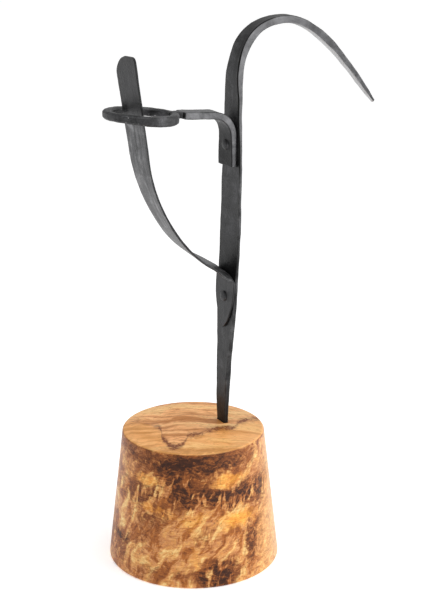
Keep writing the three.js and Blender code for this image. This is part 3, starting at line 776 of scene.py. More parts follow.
@dataclass
class Path:
    """A path in the plane Y = 0, made of stretches of points, each one place long."""

    stretches: list[np.ndarray]

    def sampled(self, spacing: float) -> tuple[np.ndarray, np.ndarray, np.ndarray, np.ndarray]:
        """Samples the path evenly by length within each stretch.

        Args:
            spacing: The distance between two samples in millimetres.

        Returns:
            Points, unit headings, places and lengths.
        """
        points, places = [], []
        for k, curve in enumerate(self.stretches):
            run = np.concatenate([[0], np.cumsum(np.linalg.norm(np.diff(curve, axis=0), axis=1))])
            count = max(2, math.ceil(run[-1] / spacing))
            shares = np.linspace(0, 1, count + 1)[0 if k == 0 else 1 :]
            points.append(np.stack([np.interp(shares * run[-1], run, curve[:, a]) for a in (0, 1)], -1))
            places.append(k + shares)
        point = np.concatenate(points)
        lengths = np.concatenate([[0], np.cumsum(np.linalg.norm(np.diff(point, axis=0), axis=1))])
        heading = np.gradient(point, axis=0)
        heading /= np.linalg.norm(heading, axis=1)[:, None]
        return point, heading, np.concatenate(places), lengths


def in_space(plane: np.ndarray) -> np.ndarray:
    """Points or headings of the plane Y = 0 as ones in space."""
    return np.insert(plane, 1, 0.0, axis=-1)


def away_from_candle(heading: np.ndarray) -> np.ndarray:
    """The directions through a bar, square to its headings."""
    return in_space(np.stack([heading[:, 1], -heading[:, 0]], -1))


def line(a: np.ndarray, b: np.ndarray) -> np.ndarray:
    """A straight stretch."""
    return np.array([a, b])


def bezier(a: np.ndarray, b: np.ndarray, c: np.ndarray, d: np.ndarray) -> np.ndarray:
    """A curved stretch with two pulls."""
    t = np.linspace(0, 1, CURVE_POINTS)[:, None]
    return (1 - t) ** 3 * a + 3 * (1 - t) ** 2 * t * b + 3 * (1 - t) * t * t * c + t**3 * d


def left_bend(start: np.ndarray, heading: float, end_heading: float, radius: float) -> np.ndarray:
    """An arc that turns left from one heading to another.

    Args:
        start: Where it starts.
        heading: Its angle there.
        end_heading: Its angle at the end.
        radius: Its radius in millimetres.

    Returns:
        The arc's points.
    """
    angle = np.linspace(heading, end_heading, BEND_POINTS)
    x = start[0] + radius * (np.sin(angle) - math.sin(heading))
    z = start[1] - radius * (np.cos(angle) - math.cos(heading))
    return np.stack([x, z], -1)


def heading_of(angle: float) -> np.ndarray:
    """The unit step along an angle in the plane Y = 0."""
    return np.array([math.cos(angle), math.sin(angle)])


@dataclass
class Bar:
    """A bar lofted through sections with chamfered corners. All values are in millimetres."""

    centre: np.ndarray
    across: np.ndarray
    through: np.ndarray
    near: np.ndarray
    far: np.ndarray
    thickness: np.ndarray
    chamfer: np.ndarray | float
    length: np.ndarray
    face_points: int = 9
    edge_points: int = 3
    crease: np.ndarray | None = None
    # The most of the thickness and of the width that a chamfer takes.
    thickness_share: float = 0.42
    width_share: float = 0.21

    def outline(self) -> tuple[np.ndarray, np.ndarray]:
        """The section's points as shares.

        Returns:
            Shares across and through, one row for each point, and 0 on a face or 1 on an edge.
        """
        faces, edges = self.face_points, self.edge_points
        face, edge = np.linspace(-1, 1, faces), np.linspace(-1, 1, edges)
        across = [*(-face), *([-1] * edges), *face, *([1] * edges)]
        through = [*([1] * faces), *(-edge), *([-1] * faces), *edge]
        return np.stack([across, through], -1), np.array([*([0] * faces), *([1] * edges)] * 2)

    def mesh(self, name: str) -> Piece:
        """Builds the bar.

        Args:
            name: The object's name.

        Returns:
            The object, with a UV map of length and girth in metres.
        """
        shape, kind = self.outline()
        n, m = len(self.centre), len(shape)
        most = (self.thickness * self.thickness_share, (self.near + self.far) * self.width_share)
        cut = np.minimum(self.chamfer, np.minimum(*most))[:, None]
        half = np.where(shape[:, 0] > 0, self.far[:, None], self.near[:, None])
        a = shape[:, 0] * np.where(kind == 0, half - cut, half)
        b = shape[:, 1] * np.where(kind == 0, self.thickness[:, None] / 2, self.thickness[:, None] / 2 - cut)
        points = self.centre[:, None] + a[..., None] * self.across[:, None]
        points = points + b[..., None] * self.through[:, None]
        girth = np.concatenate([[0], np.cumsum(np.linalg.norm(np.diff(points, axis=1), axis=2).mean(0))])
        girth = np.append(girth, girth[-1] + np.linalg.norm(points[:, 0] - points[:, -1], axis=1).mean())
        faces, uvs = [], []
        for i in range(n - 1):
            for j in range(m):
                q = (j + 1) % m
                faces.append((i * m + j, i * m + q, (i + 1) * m + q, (i + 1) * m + j))
                uvs += [(self.length[i], girth[j]), (self.length[i], girth[j + 1])]
                uvs += [(self.length[i + 1], girth[j + 1]), (self.length[i + 1], girth[j])]
        last = (n - 1) * m
        faces += [tuple(range(m - 1, -1, -1)), tuple(range(last, last + m))]
        uvs += [(0, girth[j]) for j in range(m - 1, -1, -1)] + [(self.length[-1], girth[j]) for j in range(m)]
        made = solid(name, points.reshape(-1, 3), faces, uvs)
        if self.crease is not None:
            corner = self.face_points + self.edge_points
            marks = np.zeros((n, m), np.float32)
            marks[:, corner - 1 : corner + 1] = self.crease[:, None]
            made.data.attributes.new("crease", "FLOAT", "POINT").data.foreach_set("value", marks.ravel())
        return made


def linked(name: str, mesh: bpy.types.Mesh) -> Piece:
    """Puts a mesh in the scene as an object at the origin."""
    made = bpy.data.objects.new(name, mesh)
    bpy.context.scene.collection.objects.link(made)
    return made


def solid(name: str, points: np.ndarray, faces: list, uvs: list | None = None) -> Piece:
    """Makes an object from points in millimetres and turns its faces outwards.

    Args:
        name: The object's name.
        points: Points in millimetres.
        faces: Corners of each face.
        uvs: A place in millimetres for each corner, in the faces' order.

    Returns:
        The object, at the origin.
    """
    mesh = bpy.data.meshes.new(name)
    mesh.from_pydata((np.asarray(points) * MM).tolist(), [], faces)
    if uvs:
        layer = mesh.uv_layers.new(name="strip")
        layer.data.foreach_set("uv", (np.array(uvs) * MM).astype(np.float32).ravel())
    mesh.update()
    made = linked(name, mesh)
    mesh.calc_loop_triangles()
    corners = np.array([v.co for v in mesh.vertices])
    tris = corners[np.array([t.vertices for t in mesh.loop_triangles])]
    if np.einsum("ij,ij->", tris[:, 0], np.cross(tris[:, 1], tris[:, 2])) < 0:
        mesh.flip_normals()
    return made


def baked(made: Piece, sharp_degrees: float = 38.0) -> Piece:
    """Turns an object with its modifiers to a plain mesh with smooth faces and crisp corners.

    Args:
        made: The object with its modifiers.
        sharp_degrees: Corners steeper than this stay crisp.

    Returns:
        The same object, with its modifiers gone.
    """
    graph = bpy.context.evaluated_depsgraph_get()
    final = made.evaluated_get(graph)
    mesh = bpy.data.meshes.new_from_object(final, preserve_all_data_layers=True, depsgraph=graph)
    made.modifiers.clear()
    made.data = mesh
    mesh.name = made.name
    mesh.shade_smooth()
    mesh.set_sharp_from_angle(angle=math.radians(sharp_degrees))
    return made


def new_group(name: str, *sizes: str) -> tuple[Tree, bpy.types.bpy_prop_collection]:
    """Starts a geometry tree with named inputs: the geometry, some sizes and the material.

    Args:
        name: The tree's name.
        sizes: The names of its sizes.

    Returns:
        The tree and its inputs' sockets.
    """
    tree = bpy.data.node_groups.new(name, "GeometryNodeTree")
    tree.interface.new_socket("Geometry", in_out="OUTPUT", socket_type="NodeSocketGeometry")
    kinds = {"Geometry": "Geometry", **{size: "Float" for size in sizes}, "Material": "Material"}
    for entry, kind in kinds.items():
        tree.interface.new_socket(entry, in_out="INPUT", socket_type=f"NodeSocket{kind}")
    return tree, node(tree, Kind.GIVEN).node.outputs


def use_tree(made: Piece, tree: Tree, **values: object) -> None:
    """Puts a node tree on an object and sets its inputs by their identifiers.

    Args:
        made: The object.
        tree: The node tree.
        values: Input names, with underscores for spaces, and their values.
    """
    modifier = made.modifiers.new(tree.name, "NODES")
    modifier.node_group = tree
    by_name = {item.name: item.identifier for item in tree.interface.items_tree if item.in_out == "INPUT"}
    for name, value in values.items():
        modifier[by_name[name.replace("_", " ")]] = value


def finished(tree: Tree, geometry: Socket, material: Socket) -> Tree:
    """Ends a tree: instances made real, material set, group output."""
    node(tree, Kind.RESULT, node(tree, Kind.DRESS, node(tree, Kind.REALIZE, geometry), material))
    return tree


def hammering_tree() -> Tree:
    """Shallow dished marks of a hammer and a slow unevenness, pressed into a bar along its normals.

    Returns:
        The tree.
    """
    tree, given = new_group("hammering", "Mark Size", "Mark Depth", "Wave Depth", "Seed")
    at = node(tree, Kind.VECTOR_OVER, node(tree, Kind.POSITION), given["Mark Size"])
    marks = node(tree, Kind.CELLS, at, 1.0, given["Seed"], voronoi_dimensions="4D")
    dish = node(tree, Kind.TIMES, node(tree, Kind.POWER, marks, 2.0), given["Mark Depth"])
    waves = node(tree, Kind.NOISE, at, 0.7, 1.0, 0.0, 0.5, given["Seed"], noise_dimensions="4D")
    swell = node(tree, Kind.TIMES, node(tree, Kind.MINUS, waves, 0.5), given["Wave Depth"])
    level = node(tree, Kind.TIMES, given["Mark Depth"], 0.4)
    push = node(tree, Kind.MINUS, node(tree, Kind.PLUS, dish, swell), level)
    offset = node(tree, Kind.VECTOR_SCALE, node(tree, Kind.NORMAL), push)
    return finished(tree, node(tree, Kind.MOVE, given["Geometry"], offset), given["Material"])


def rivet_tree() -> Tree:
    """A rivet on every point, turned to the point's axis: a hammered head, a shank and a peened tail.

    Returns:
        The tree. Each point has an axis and a grip.
    """
    tree, given = new_group("riveting", "Head Radius", "Head Height", "Shank Radius", "Grip")
    ball = node(tree, Kind.BALL, HEAD_SEGMENTS, HEAD_RINGS, 1.0)
    size = node(tree, Kind.VECTOR, given["Head Radius"], given["Head Radius"], given["Head Height"])
    head = node(tree, Kind.RESIZE, ball, size)
    shank = node(tree, Kind.PIN, SHANK_SEGMENTS, given["Shank Radius"], given["Grip"])
    grip = node(tree, Kind.NAMED, "grip", data_type="FLOAT")
    axis = node(tree, Kind.NAMED, "axis", data_type="FLOAT_VECTOR")
    turn = node(tree, Kind.AIM, axis)
    placed = []
    for side in (0.5, -0.5):
        shift = node(tree, Kind.VECTOR_SCALE, axis, node(tree, Kind.TIMES, grip, side))
        moved = node(tree, Kind.MOVE, given["Geometry"], shift)
        placed.append(node(tree, Kind.PLACE, moved, head, turn))
    placed.append(node(tree, Kind.PLACE, given["Geometry"], shank, turn))
    return finished(tree, node(tree, Kind.JOIN, *placed), given["Material"])


@dataclass(frozen=True)
class Hammering:
    """How the hammer left a bar: its marks' size and depth and the slow swell in millimetres, and a seed."""

    mark_size: float
    mark_depth: float
    wave_depth: float
    seed: float

    def press(self, made: Piece, tree: Tree, material: Material) -> None:
        """Presses the marks into a bar and dresses it.

        Args:
            made: The bar.
            tree: The hammering tree.
            material: Its finish.
        """
        size, depth, wave = (value * MM for value in (self.mark_size, self.mark_depth, self.wave_depth))
        use_tree(
            made, tree, Mark_Size=size, Mark_Depth=depth, Wave_Depth=wave, Seed=self.seed, Material=material
        )


@dataclass
class Stem:
    """The stem that stands in the base, with its forged-down shoulder and the hanging hook."""

    offset: float = 19.8
    rise: float = 191.3
    lean: float = 6.6
    tang: float = 40.0
    entry: float = 78.7
    width: float = 20.3
    thickness: float = 4.2
    chamfer: float = 0.42
    fullness: float = 0.15
    crown: tuple[float, float] = (31.6, 40.6)
    crown_pull: float = 22.0
    fall_pull: float = 24.0
    shoulder_pull: float = 28.0
    tip: tuple[float, float] = (63.5, -51.2)
    tip_pull: float = 25.0
    tip_slope: float = math.radians(49)
    low_pull_share: float = 0.235
    high_pull_share: float = 0.467
    high_lean_share: float = 0.85
    spacing: float = 0.9
    seat_spacing: float = 0.5
    even_length: float = 45.0
    even_fade: float = 10.0
    full_waver_half: float = 6.0
    near_waver: Waver = (11, 0.3, 3)
    far_waver: Waver = (13, 0.3, 8)
    thickness_waver: Waver = (12, 0.05, 5)
    chamfer_waver: Waver = (9, 0.45, 9)
    marks: Hammering = Hammering(8.0, 0.3, 0.35, 2.0)
    # Shares of the width and of the thickness: place 0 to 1 is the tang, to 2 the stem, to 3 the hook's
    # shoulder, to 4 its tail.
    sections: tuple[Table, ...] = columns(
        (0, 0.22, 0.48), (1, 0.43, 0.64), (1.08, 0.49, 0.76), (1.16, 0.55, 0.78), (1.24, 0.68, 0.64),
        (1.31, 0.83, 0.53), (1.39, 0.94, 0.46), (1.51, 1, 0.4), (1.7, 0.97, 0.39), (1.78, 0.95, 0.43),
        (1.87, 0.88, 0.52), (2, 0.74, 0.68), (2.21, 0.62, 0.9), (2.41, 0.54, 1.02), (2.79, 0.44, 1.06),
        (3, 0.33, 0.98), (3.2, 0.25, 0.98), (3.4, 0.22, 1), (3.56, 0.22, 0.88), (3.76, 0.2, 0.69),
        (3.88, 0.16, 0.62), (4, 0.1, 0.48),
    )
    crease: Table = columns(
        (0, 0), (1.6, 0), (1.75, 0.85), (2, 1), (2.6, 1), (2.95, 0.8), (3.1, 0), (4, 0)
    )[0]

    def path(self) -> Path:
        """The tang, the stem, the hook's shoulder and its tail.

        Returns:
            The path.
        """
        low = np.array([self.offset, self.entry])
        top = np.array([self.offset + self.lean, self.entry + self.rise])
        pull = low + [0, self.rise * self.low_pull_share]
        high = low + [self.lean * self.high_lean_share, self.rise * self.high_pull_share]
        onward = (top - high) / np.linalg.norm(top - high)
        crown = top + self.crown
        tip = crown + self.tip
        before_tip = tip + self.tip_pull * heading_of(math.pi - self.tip_slope)
        return Path(
            [
                line(low - [0, self.tang], low),
                bezier(low, pull, high, top),
                bezier(top, top + self.shoulder_pull * onward, crown - [self.crown_pull, 0], crown),
                bezier(crown, crown + [self.fall_pull, 0], before_tip, tip),
            ]
        )

    def beside(self, height: float, clearance: float) -> tuple[np.ndarray, np.ndarray, float]:
        """A place beside the stem's candle side.

        Args:
            height: The height in millimetres.
            clearance: The distance from the stem's face.

        Returns:
            The point, the stem's heading there and its thickness.
        """
        point, heading, place, _ = self.path().sampled(self.seat_spacing)
        # The last third of the points is the hook, which comes down again.
        k = int(np.argmin(np.abs(point[: len(point) * 2 // 3, 1] - height)))
        thick = float(self.thickness * self.sections[1].at(place[k : k + 1])[0]) + self.fullness
        normal = np.array([-heading[k, 1], heading[k, 0]])
        slip = (height - point[k, 1]) / heading[k, 1]
        return point[k] + heading[k] * slip + normal * (thick / 2 + clearance), heading[k], thick

    def build(self, hammering: Tree, material: Material) -> Piece:
        """Lofts the stem and hammers it.

        Args:
            hammering: The node tree that presses the marks.
            material: The iron.

        Returns:
            The finished piece.
        """
        point, heading, place, length = self.path().sampled(self.spacing)
        half = self.width * self.sections[0].at(place) / 2 + self.fullness
        thick = self.thickness * self.sections[1].at(place) + self.fullness
        uneven = np.clip((length - self.even_length) / self.even_fade, 0, 1)
        share = np.clip(half / self.full_waver_half, 0.2, 1) * uneven
        bar = Bar(
            centre=in_space(point),
            across=ACROSS[None],
            through=away_from_candle(heading),
            near=half + wobble(length, self.near_waver) * share,
            far=half + wobble(length, self.far_waver) * share,
            thickness=thick * (1 + wobble(length, self.thickness_waver) * uneven),
            chamfer=self.chamfer * (1 + wobble(length, self.chamfer_waver)),
            length=length,
            crease=self.crease.at(place),
        )
        made = bar.mesh("iron_stem_and_hook")
        self.marks.press(made, hammering, material)
        return baked(made)


@dataclass
class RingBracket:
    """The candle ring, its neck and the strap that is bent down the stem and riveted."""

    stem: Stem
    reach: float = 57.4
    below_shoulder: float = 6.2
    outer: float = 20.7
    bar: float = 4.8
    bar_height: float = 5.4
    tilt: float = math.radians(4.5)
    strap: float = 13.0
    strap_thickness: float = 4.0
    bend: float = 13.5
    leg: float = 18.0
    neck: float = 5.2
    neck_length: float = 3.4
    neck_share: float = 0.96
    seam: float = 0.5
    seat: float = 0.05
    spacing: float = 0.6
    eye_sections: int = 180
    strap_chamfer: float = 0.4
    eye_chamfer: float = 1.25
    voxel: float = 0.3
    sharp: float = 60.0
    strap_wavers: tuple[Waver, Waver] = ((9, 0.18, 31), (9, 0.18, 32))
    eye_height_waver: Waver = (11, 0.25, 21)
    eye_radius_waver: Waver = (13, 0.15, 22)
    eye_width_waver: Waver = (10, 0.2, 23)
    marks: Hammering = Hammering(6.0, 0.28, 0.4, 5.0)
    # The near and the far half width as shares of the strap's width, and its thickness: place 0 to 1 is the
    # leg, to 2 the bend, to 3 the arm.
    sections: tuple[Table, ...] = columns(
        (0, 0.52, 0.66, 0.82), (0.6, 0.53, 0.64, 0.84), (1, 0.51, 0.59, 0.93), (1.5, 0.485, 0.51, 1),
        (2, 0.465, 0.47, 1), (3, 0.42, 0.42, 1),
    )
    eye_heights: Table = columns((0, 0.86), (0.25, 0.84), (0.5, 0.82), (0.75, 0.95), (1, 1.08))[0]

    def height(self) -> float:
        """The ring's height, which keeps to the top of the stem."""
        return self.stem.entry + self.stem.rise - self.below_shoulder

    def frame(self) -> tuple[np.ndarray, np.ndarray, np.ndarray]:
        """The ring's place and tilt.

        Returns:
            Its centre, its level direction to the stem and its upright direction.
        """
        centre = np.array([self.stem.offset + self.stem.lean - self.reach, 0, self.height()])
        to_stem = np.array([math.cos(self.tilt), 0, -math.sin(self.tilt)])
        return centre, to_stem, np.array([math.sin(self.tilt), 0, math.cos(self.tilt)])

    def strap_path(self) -> Path:
        """The leg beside the stem, the bend, the arm and the neck, along the strap's outer face.

        Returns:
            The path.
        """
        centre, to_stem, upright = self.frame()
        end = (centre + upright * self.bar_height / 2 + to_stem * (self.outer - self.bar / 2))[[0, 2]]
        arm = math.pi - self.tilt
        top = self.height() - self.bend
        # A few rounds settle the height at which the bend ends on the arm's line.
        for _ in range(8):
            start, heading, _ = self.stem.beside(top, self.seat)
            bend = left_bend(start, math.atan2(heading[1], heading[0]), arm, self.bend)
            top += end[1] - (bend[-1, 0] - end[0]) * math.tan(self.tilt) - bend[-1, 1]
        leg = np.array([self.stem.beside(z, self.seat)[0] for z in np.linspace(top - self.leg, top, 5)])
        neck_start = end - heading_of(arm) * (self.neck_length + self.bar / 2)
        return Path([leg, bend, line(bend[-1], neck_start), line(neck_start, end)])

    def flat_bar(self, stretches: list[np.ndarray], narrow: bool) -> Bar:
        """The strap or the neck along some stretches, on the inner side of the path.

        Args:
            stretches: The stretches.
            narrow: Whether this is the neck.

        Returns:
            The bar.
        """
        point, heading, place, length = Path(stretches).sampled(self.spacing)
        if narrow:
            near = far = np.full(len(point), self.neck / 2)
            thick = np.full(len(point), self.strap_thickness * self.neck_share)
        else:
            near, far = (
                self.strap * self.sections[k].at(place) + wobble(length, self.strap_wavers[k]) for k in (0, 1)
            )
            thick = self.strap_thickness * self.sections[2].at(place)
        through = away_from_candle(heading)
        middle = in_space(point) - through * thick[:, None] / 2
        return Bar(middle, ACROSS[None], through, near, far, thick, self.strap_chamfer, length)

    def eye_bar(self) -> Bar:
        """The eye, from inside the neck round by the far side to its square cut end.

        Returns:
            The bar.
        """
        centre, to_stem, upright = self.frame()
        middle = self.outer - self.bar / 2
        start = -math.asin(self.neck / 3 / middle)
        end = 2 * math.pi - math.asin((self.neck / 2 + self.seam) / (self.outer - self.bar))
        share = np.linspace(0, 1, self.eye_sections)
        angle = start + (end - start) * share
        across = np.cos(angle)[:, None] * to_stem + np.sin(angle)[:, None] * ACROSS
        length = share * (end - start) * middle
        height = self.bar_height * self.eye_heights.at(share) + wobble(length, self.eye_height_waver)
        places = centre + across * (middle + wobble(length, self.eye_radius_waver))[:, None]
        places = places + upright * ((self.bar_height - height) / 2)[:, None]
        half = self.bar / 2 + wobble(length, self.eye_width_waver)
        return Bar(
            places, across, upright[None], half, half, height, self.eye_chamfer, length,
            face_points=7, edge_points=5,
        )

    def build(self, hammering: Tree, material: Material) -> Piece:
        """Forges the bracket in one: strap, neck and eye fused, softened and hammered.

        Args:
            hammering: The node tree that presses the marks.
            material: The iron.

        Returns:
            The finished piece.
        """
        stretches = self.strap_path().stretches
        strap = self.flat_bar(stretches[:3], narrow=False).mesh("iron_ring_bracket")
        neck = self.flat_bar(stretches[3:], narrow=True).mesh("neck")
        eye = self.eye_bar().mesh("eye")
        together = bmesh.new()
        for part in (strap, neck, eye):
            together.from_mesh(part.data)
        together.to_mesh(strap.data)
        together.free()
        for part in (neck, eye):
            bpy.data.objects.remove(part)
        fine = strap.modifiers.new("fuse", "REMESH")
        fine.mode = "VOXEL"
        fine.voxel_size = self.voxel * MM
        soft = strap.modifiers.new("soften", "SMOOTH")
        soft.factor = 0.5
        soft.iterations = 1
        self.marks.press(strap, hammering, material)
        return baked(strap, self.sharp)


@dataclass
class LeafSpring:
    """The spring: a tongue riveted to the stem, bent out, bellied and rising through the ring."""

    stem: Stem
    ring: RingBracket
    width: float = 20.2
    thickness: float = 1.3
    foot_width: float = 19.9
    foot_rise: float = 58.3
    foot: float = 29.3
    bend: float = 4.5
    run: float = 14.9
    run_heading: float = math.radians(150.1)
    belly_pull: float = 14.0
    back_pull: float = 33.9
    lean: float = math.radians(8)
    below: float = 22.4
    above: float = 32.9
    gap: float = 20.0
    seat: float = 0.05
    chamfer: float = 0.34
    near_fullness: float = 0.25
    spacing: float = 0.8
    end_steps: int = 9
    even_end: float = 12.0
    sway_from: float = 36.0
    sway_fade: float = 15.0
    near_waver: Waver = (12, 0.28, 51)
    far_waver: Waver = (14, 0.28, 52)
    sway_waver: Waver = (17, 0.22, 53)
    thickness_waver: Waver = (9, 0.06, 54)
    marks: Hammering = Hammering(7.0, 0.14, 0.12, 9.0)
    crest_drop: float = 3.0
    crest_from: float = 3.5
    crest_rise: float = 9.0
    crest_run: float = 12.0
    twist: Table = columns(
        (0, -7.1), (0.06, -8.6), (0.12, -7.4), (0.2, -4.3), (0.35, -2.9), (0.66, 1.5), (1, 5.7)
    )[0]
    foot_shares: Table = columns(
        (0, 0.08), (0.03, 0.2), (0.14, 0.44), (0.34, 0.72), (0.6, 0.95), (0.8, 1), (1, 1)
    )[0]
    near_end: Table = columns((0, 0.38), (0.012, 0.43), (0.04, 0.47), (0.1, 0.495), (0.2, 0.5))[0]
    far_end: Table = columns(
        (0, -0.04), (0.04, 0.12), (0.14, 0.28), (0.28, 0.41), (0.42, 0.49), (0.55, 0.51)
    )[0]

    def bottom(self) -> float:
        """The height of the tongue's tip."""
        return self.stem.entry + self.foot_rise

    def path(self) -> Path:
        """The foot, the bend, the run, the belly and the upright back.

        Returns:
            The path.
        """
        heights = self.bottom() + np.linspace(0, self.foot, 5)
        foot = np.array([self.stem.beside(z, self.seat + self.thickness / 2)[0] for z in heights])
        rise = foot[-1] - foot[-2]
        bend = left_bend(foot[-1], math.atan2(rise[1], rise[0]), self.run_heading, self.bend)
        onward = heading_of(self.run_heading)
        run_end = bend[-1] + onward * self.run
        centre, to_stem, _ = self.ring.frame()
        out = self.ring.outer - self.ring.bar - self.gap - self.thickness / 2
        at_ring = (centre + to_stem * out)[[0, 2]]
        up = heading_of(math.pi / 2 + self.lean)
        low, high = at_ring - up * self.below, at_ring + up * self.above
        belly = bezier(run_end, run_end + onward * self.belly_pull, low - up * self.back_pull, low)
        return Path([foot, bend, line(bend[-1], run_end), belly, line(low, high)])

    def half_widths(self, place: np.ndarray, length: np.ndarray) -> tuple[np.ndarray, np.ndarray]:
        """The strip's half widths on its near and its far side.

        Args:
            place: Places along the path.
            length: Lengths along it.

        Returns:
            Both half widths.
        """
        settle = np.clip(place - 1, 0, 1)
        half = (self.foot_width * (1 - settle) + self.width * settle) / 2
        half = np.where(place <= 1, self.foot_width * self.foot_shares.at(place) / 2, half)
        left = (length[-1] - length) / self.width
        near = np.where(place > 4, self.width * self.near_end.at(left), half)
        far = np.where(place > 4, self.width * self.far_end.at(left), half)
        free = np.clip(length / self.even_end, 0, 1) * np.clip((length[-1] - length) / self.even_end, 0, 1)
        near = near + (wobble(length, self.near_waver) + self.near_fullness) * free
        return near, far + wobble(length, self.far_waver) * free

    def build(self, hammering: Tree, material: Material) -> Piece:
        """Lofts the strip, one piece from tongue to tip, and planishes it.

        Args:
            hammering: The node tree that presses the marks.
            material: The spring's iron.

        Returns:
            The finished piece.
        """
        point, heading, place, length = self.path().sampled(self.spacing)
        fine = self.spacing * np.linspace(0, 1, self.end_steps)
        steps = np.concatenate([fine[:-1], length[1:-1], length[-1] - fine[::-1][1:]])
        steps = np.unique(np.round(steps, 4))
        point = np.stack([np.interp(steps, length, point[:, a]) for a in (0, 1)], -1)
        heading = np.stack([np.interp(steps, length, heading[:, a]) for a in (0, 1)], -1)
        heading /= np.linalg.norm(heading, axis=1)[:, None]
        place, length = np.interp(steps, length, place), steps
        near, far = self.half_widths(place, length)
        start, end = (np.interp(k, place, length) for k in (2, 5))
        turned = np.clip((length - start) / (end - start), 0, 1)
        twist = np.radians(self.twist.at(turned)) * np.clip(place - 1, 0, 1)
        along, flat = in_space(heading), away_from_candle(heading)
        cos, sin = np.cos(twist)[:, None], np.sin(twist)[:, None]
        across = ACROSS * cos + np.cross(along, ACROSS) * sin
        through = flat * cos + np.cross(along, flat) * sin
        sway = wobble(length, self.sway_waver) * np.clip((length - self.sway_from) / self.sway_fade, 0, 1)
        centre = in_space(point) + through * sway[:, None]
        thick = self.thickness * (1 + wobble(length, self.thickness_waver))
        bar = Bar(
            centre, across, through, near, far, thick, self.chamfer, length, face_points=25, edge_points=2
        )
        made = bar.mesh("iron_leaf_spring")
        self.slump(made)
        self.marks.press(made, hammering, material)
        return baked(made)

    def slump(self, made: Piece) -> None:
        """Lets the near end of the bend's crest sink, as a bend made over a worn edge does.

        Args:
            made: The strip, which is moved in place.
        """
        crest = self.path().stretches[1][-1]
        for vertex in made.data.vertices:
            x, y, z = (value / MM for value in vertex.co)
            side = max(0.0, -y - self.crest_from) / (self.width / 2 - self.crest_from)
            rise = np.clip(1 - (crest[1] - z) / self.crest_rise, 0, 1)
            run = np.clip(1 - (crest[0] - x) / self.crest_run, 0, 1)
            smooth = rise * rise * (3 - 2 * rise) * run * run * (3 - 2 * run)
            vertex.co.z -= self.crest_drop * MM * side**1.8 * smooth

    def bend_ends(self) -> tuple[Triple, Triple]:
        """The two points, in metres, between which the strip flexes."""
        bend = self.path().stretches[1] * MM
        return (bend[0, 0], 0, bend[0, 1]), (bend[-1, 0], 0, bend[-1, 1])


@dataclass
class Rivets:
    """The two hammered rivets through the stem."""

    stem: Stem
    ring: RingBracket
    spring: LeafSpring
    spring_up: float = 18.2
    strap_up: float = 12.0
    strap_share: float = 0.83
    head_radius: float = 3.1
    head_height: float = 1.65
    shank_radius: float = 2.0

    def build(self, riveting: Tree, material: Material) -> Piece:
        """Puts a rivet through each seat.

        Args:
            riveting: The node tree that makes a rivet on every point.
            material: The iron.

        Returns:
            Both rivets as one mesh.
        """
        leg = self.ring.strap_path().stretches[0]
        seats = [
            (self.spring.bottom() + self.spring_up, self.spring.thickness),
            (leg[0, 1] + self.strap_up, self.ring.strap_thickness * self.strap_share),
        ]
        points, axes, grips = [], [], []
        for height, clamped in seats:
            face, heading, thick = self.stem.beside(height, 0.0)
            outward = np.array([-heading[1], 0, heading[0]])
            points.append(in_space(face) + outward * (clamped - thick) / 2)
            axes.append(outward)
            grips.append((thick + clamped) * MM)
        mesh = bpy.data.meshes.new("iron_rivets")
        mesh.from_pydata((np.array(points) * MM).tolist(), [], [])
        axis = mesh.attributes.new("axis", "FLOAT_VECTOR", "POINT")
        axis.data.foreach_set("vector", np.array(axes, np.float32).ravel())
        grip = mesh.attributes.new("grip", "FLOAT", "POINT")
        grip.data.foreach_set("value", np.array(grips, np.float32))
        made = linked("iron_rivets", mesh)
        use_tree(
            made,
            riveting,
            Head_Radius=self.head_radius * MM,
            Head_Height=self.head_height * MM,
            Shank_Radius=self.shank_radius * MM,
            Grip=min(grips),
            Material=material,
        )
        return baked(made)


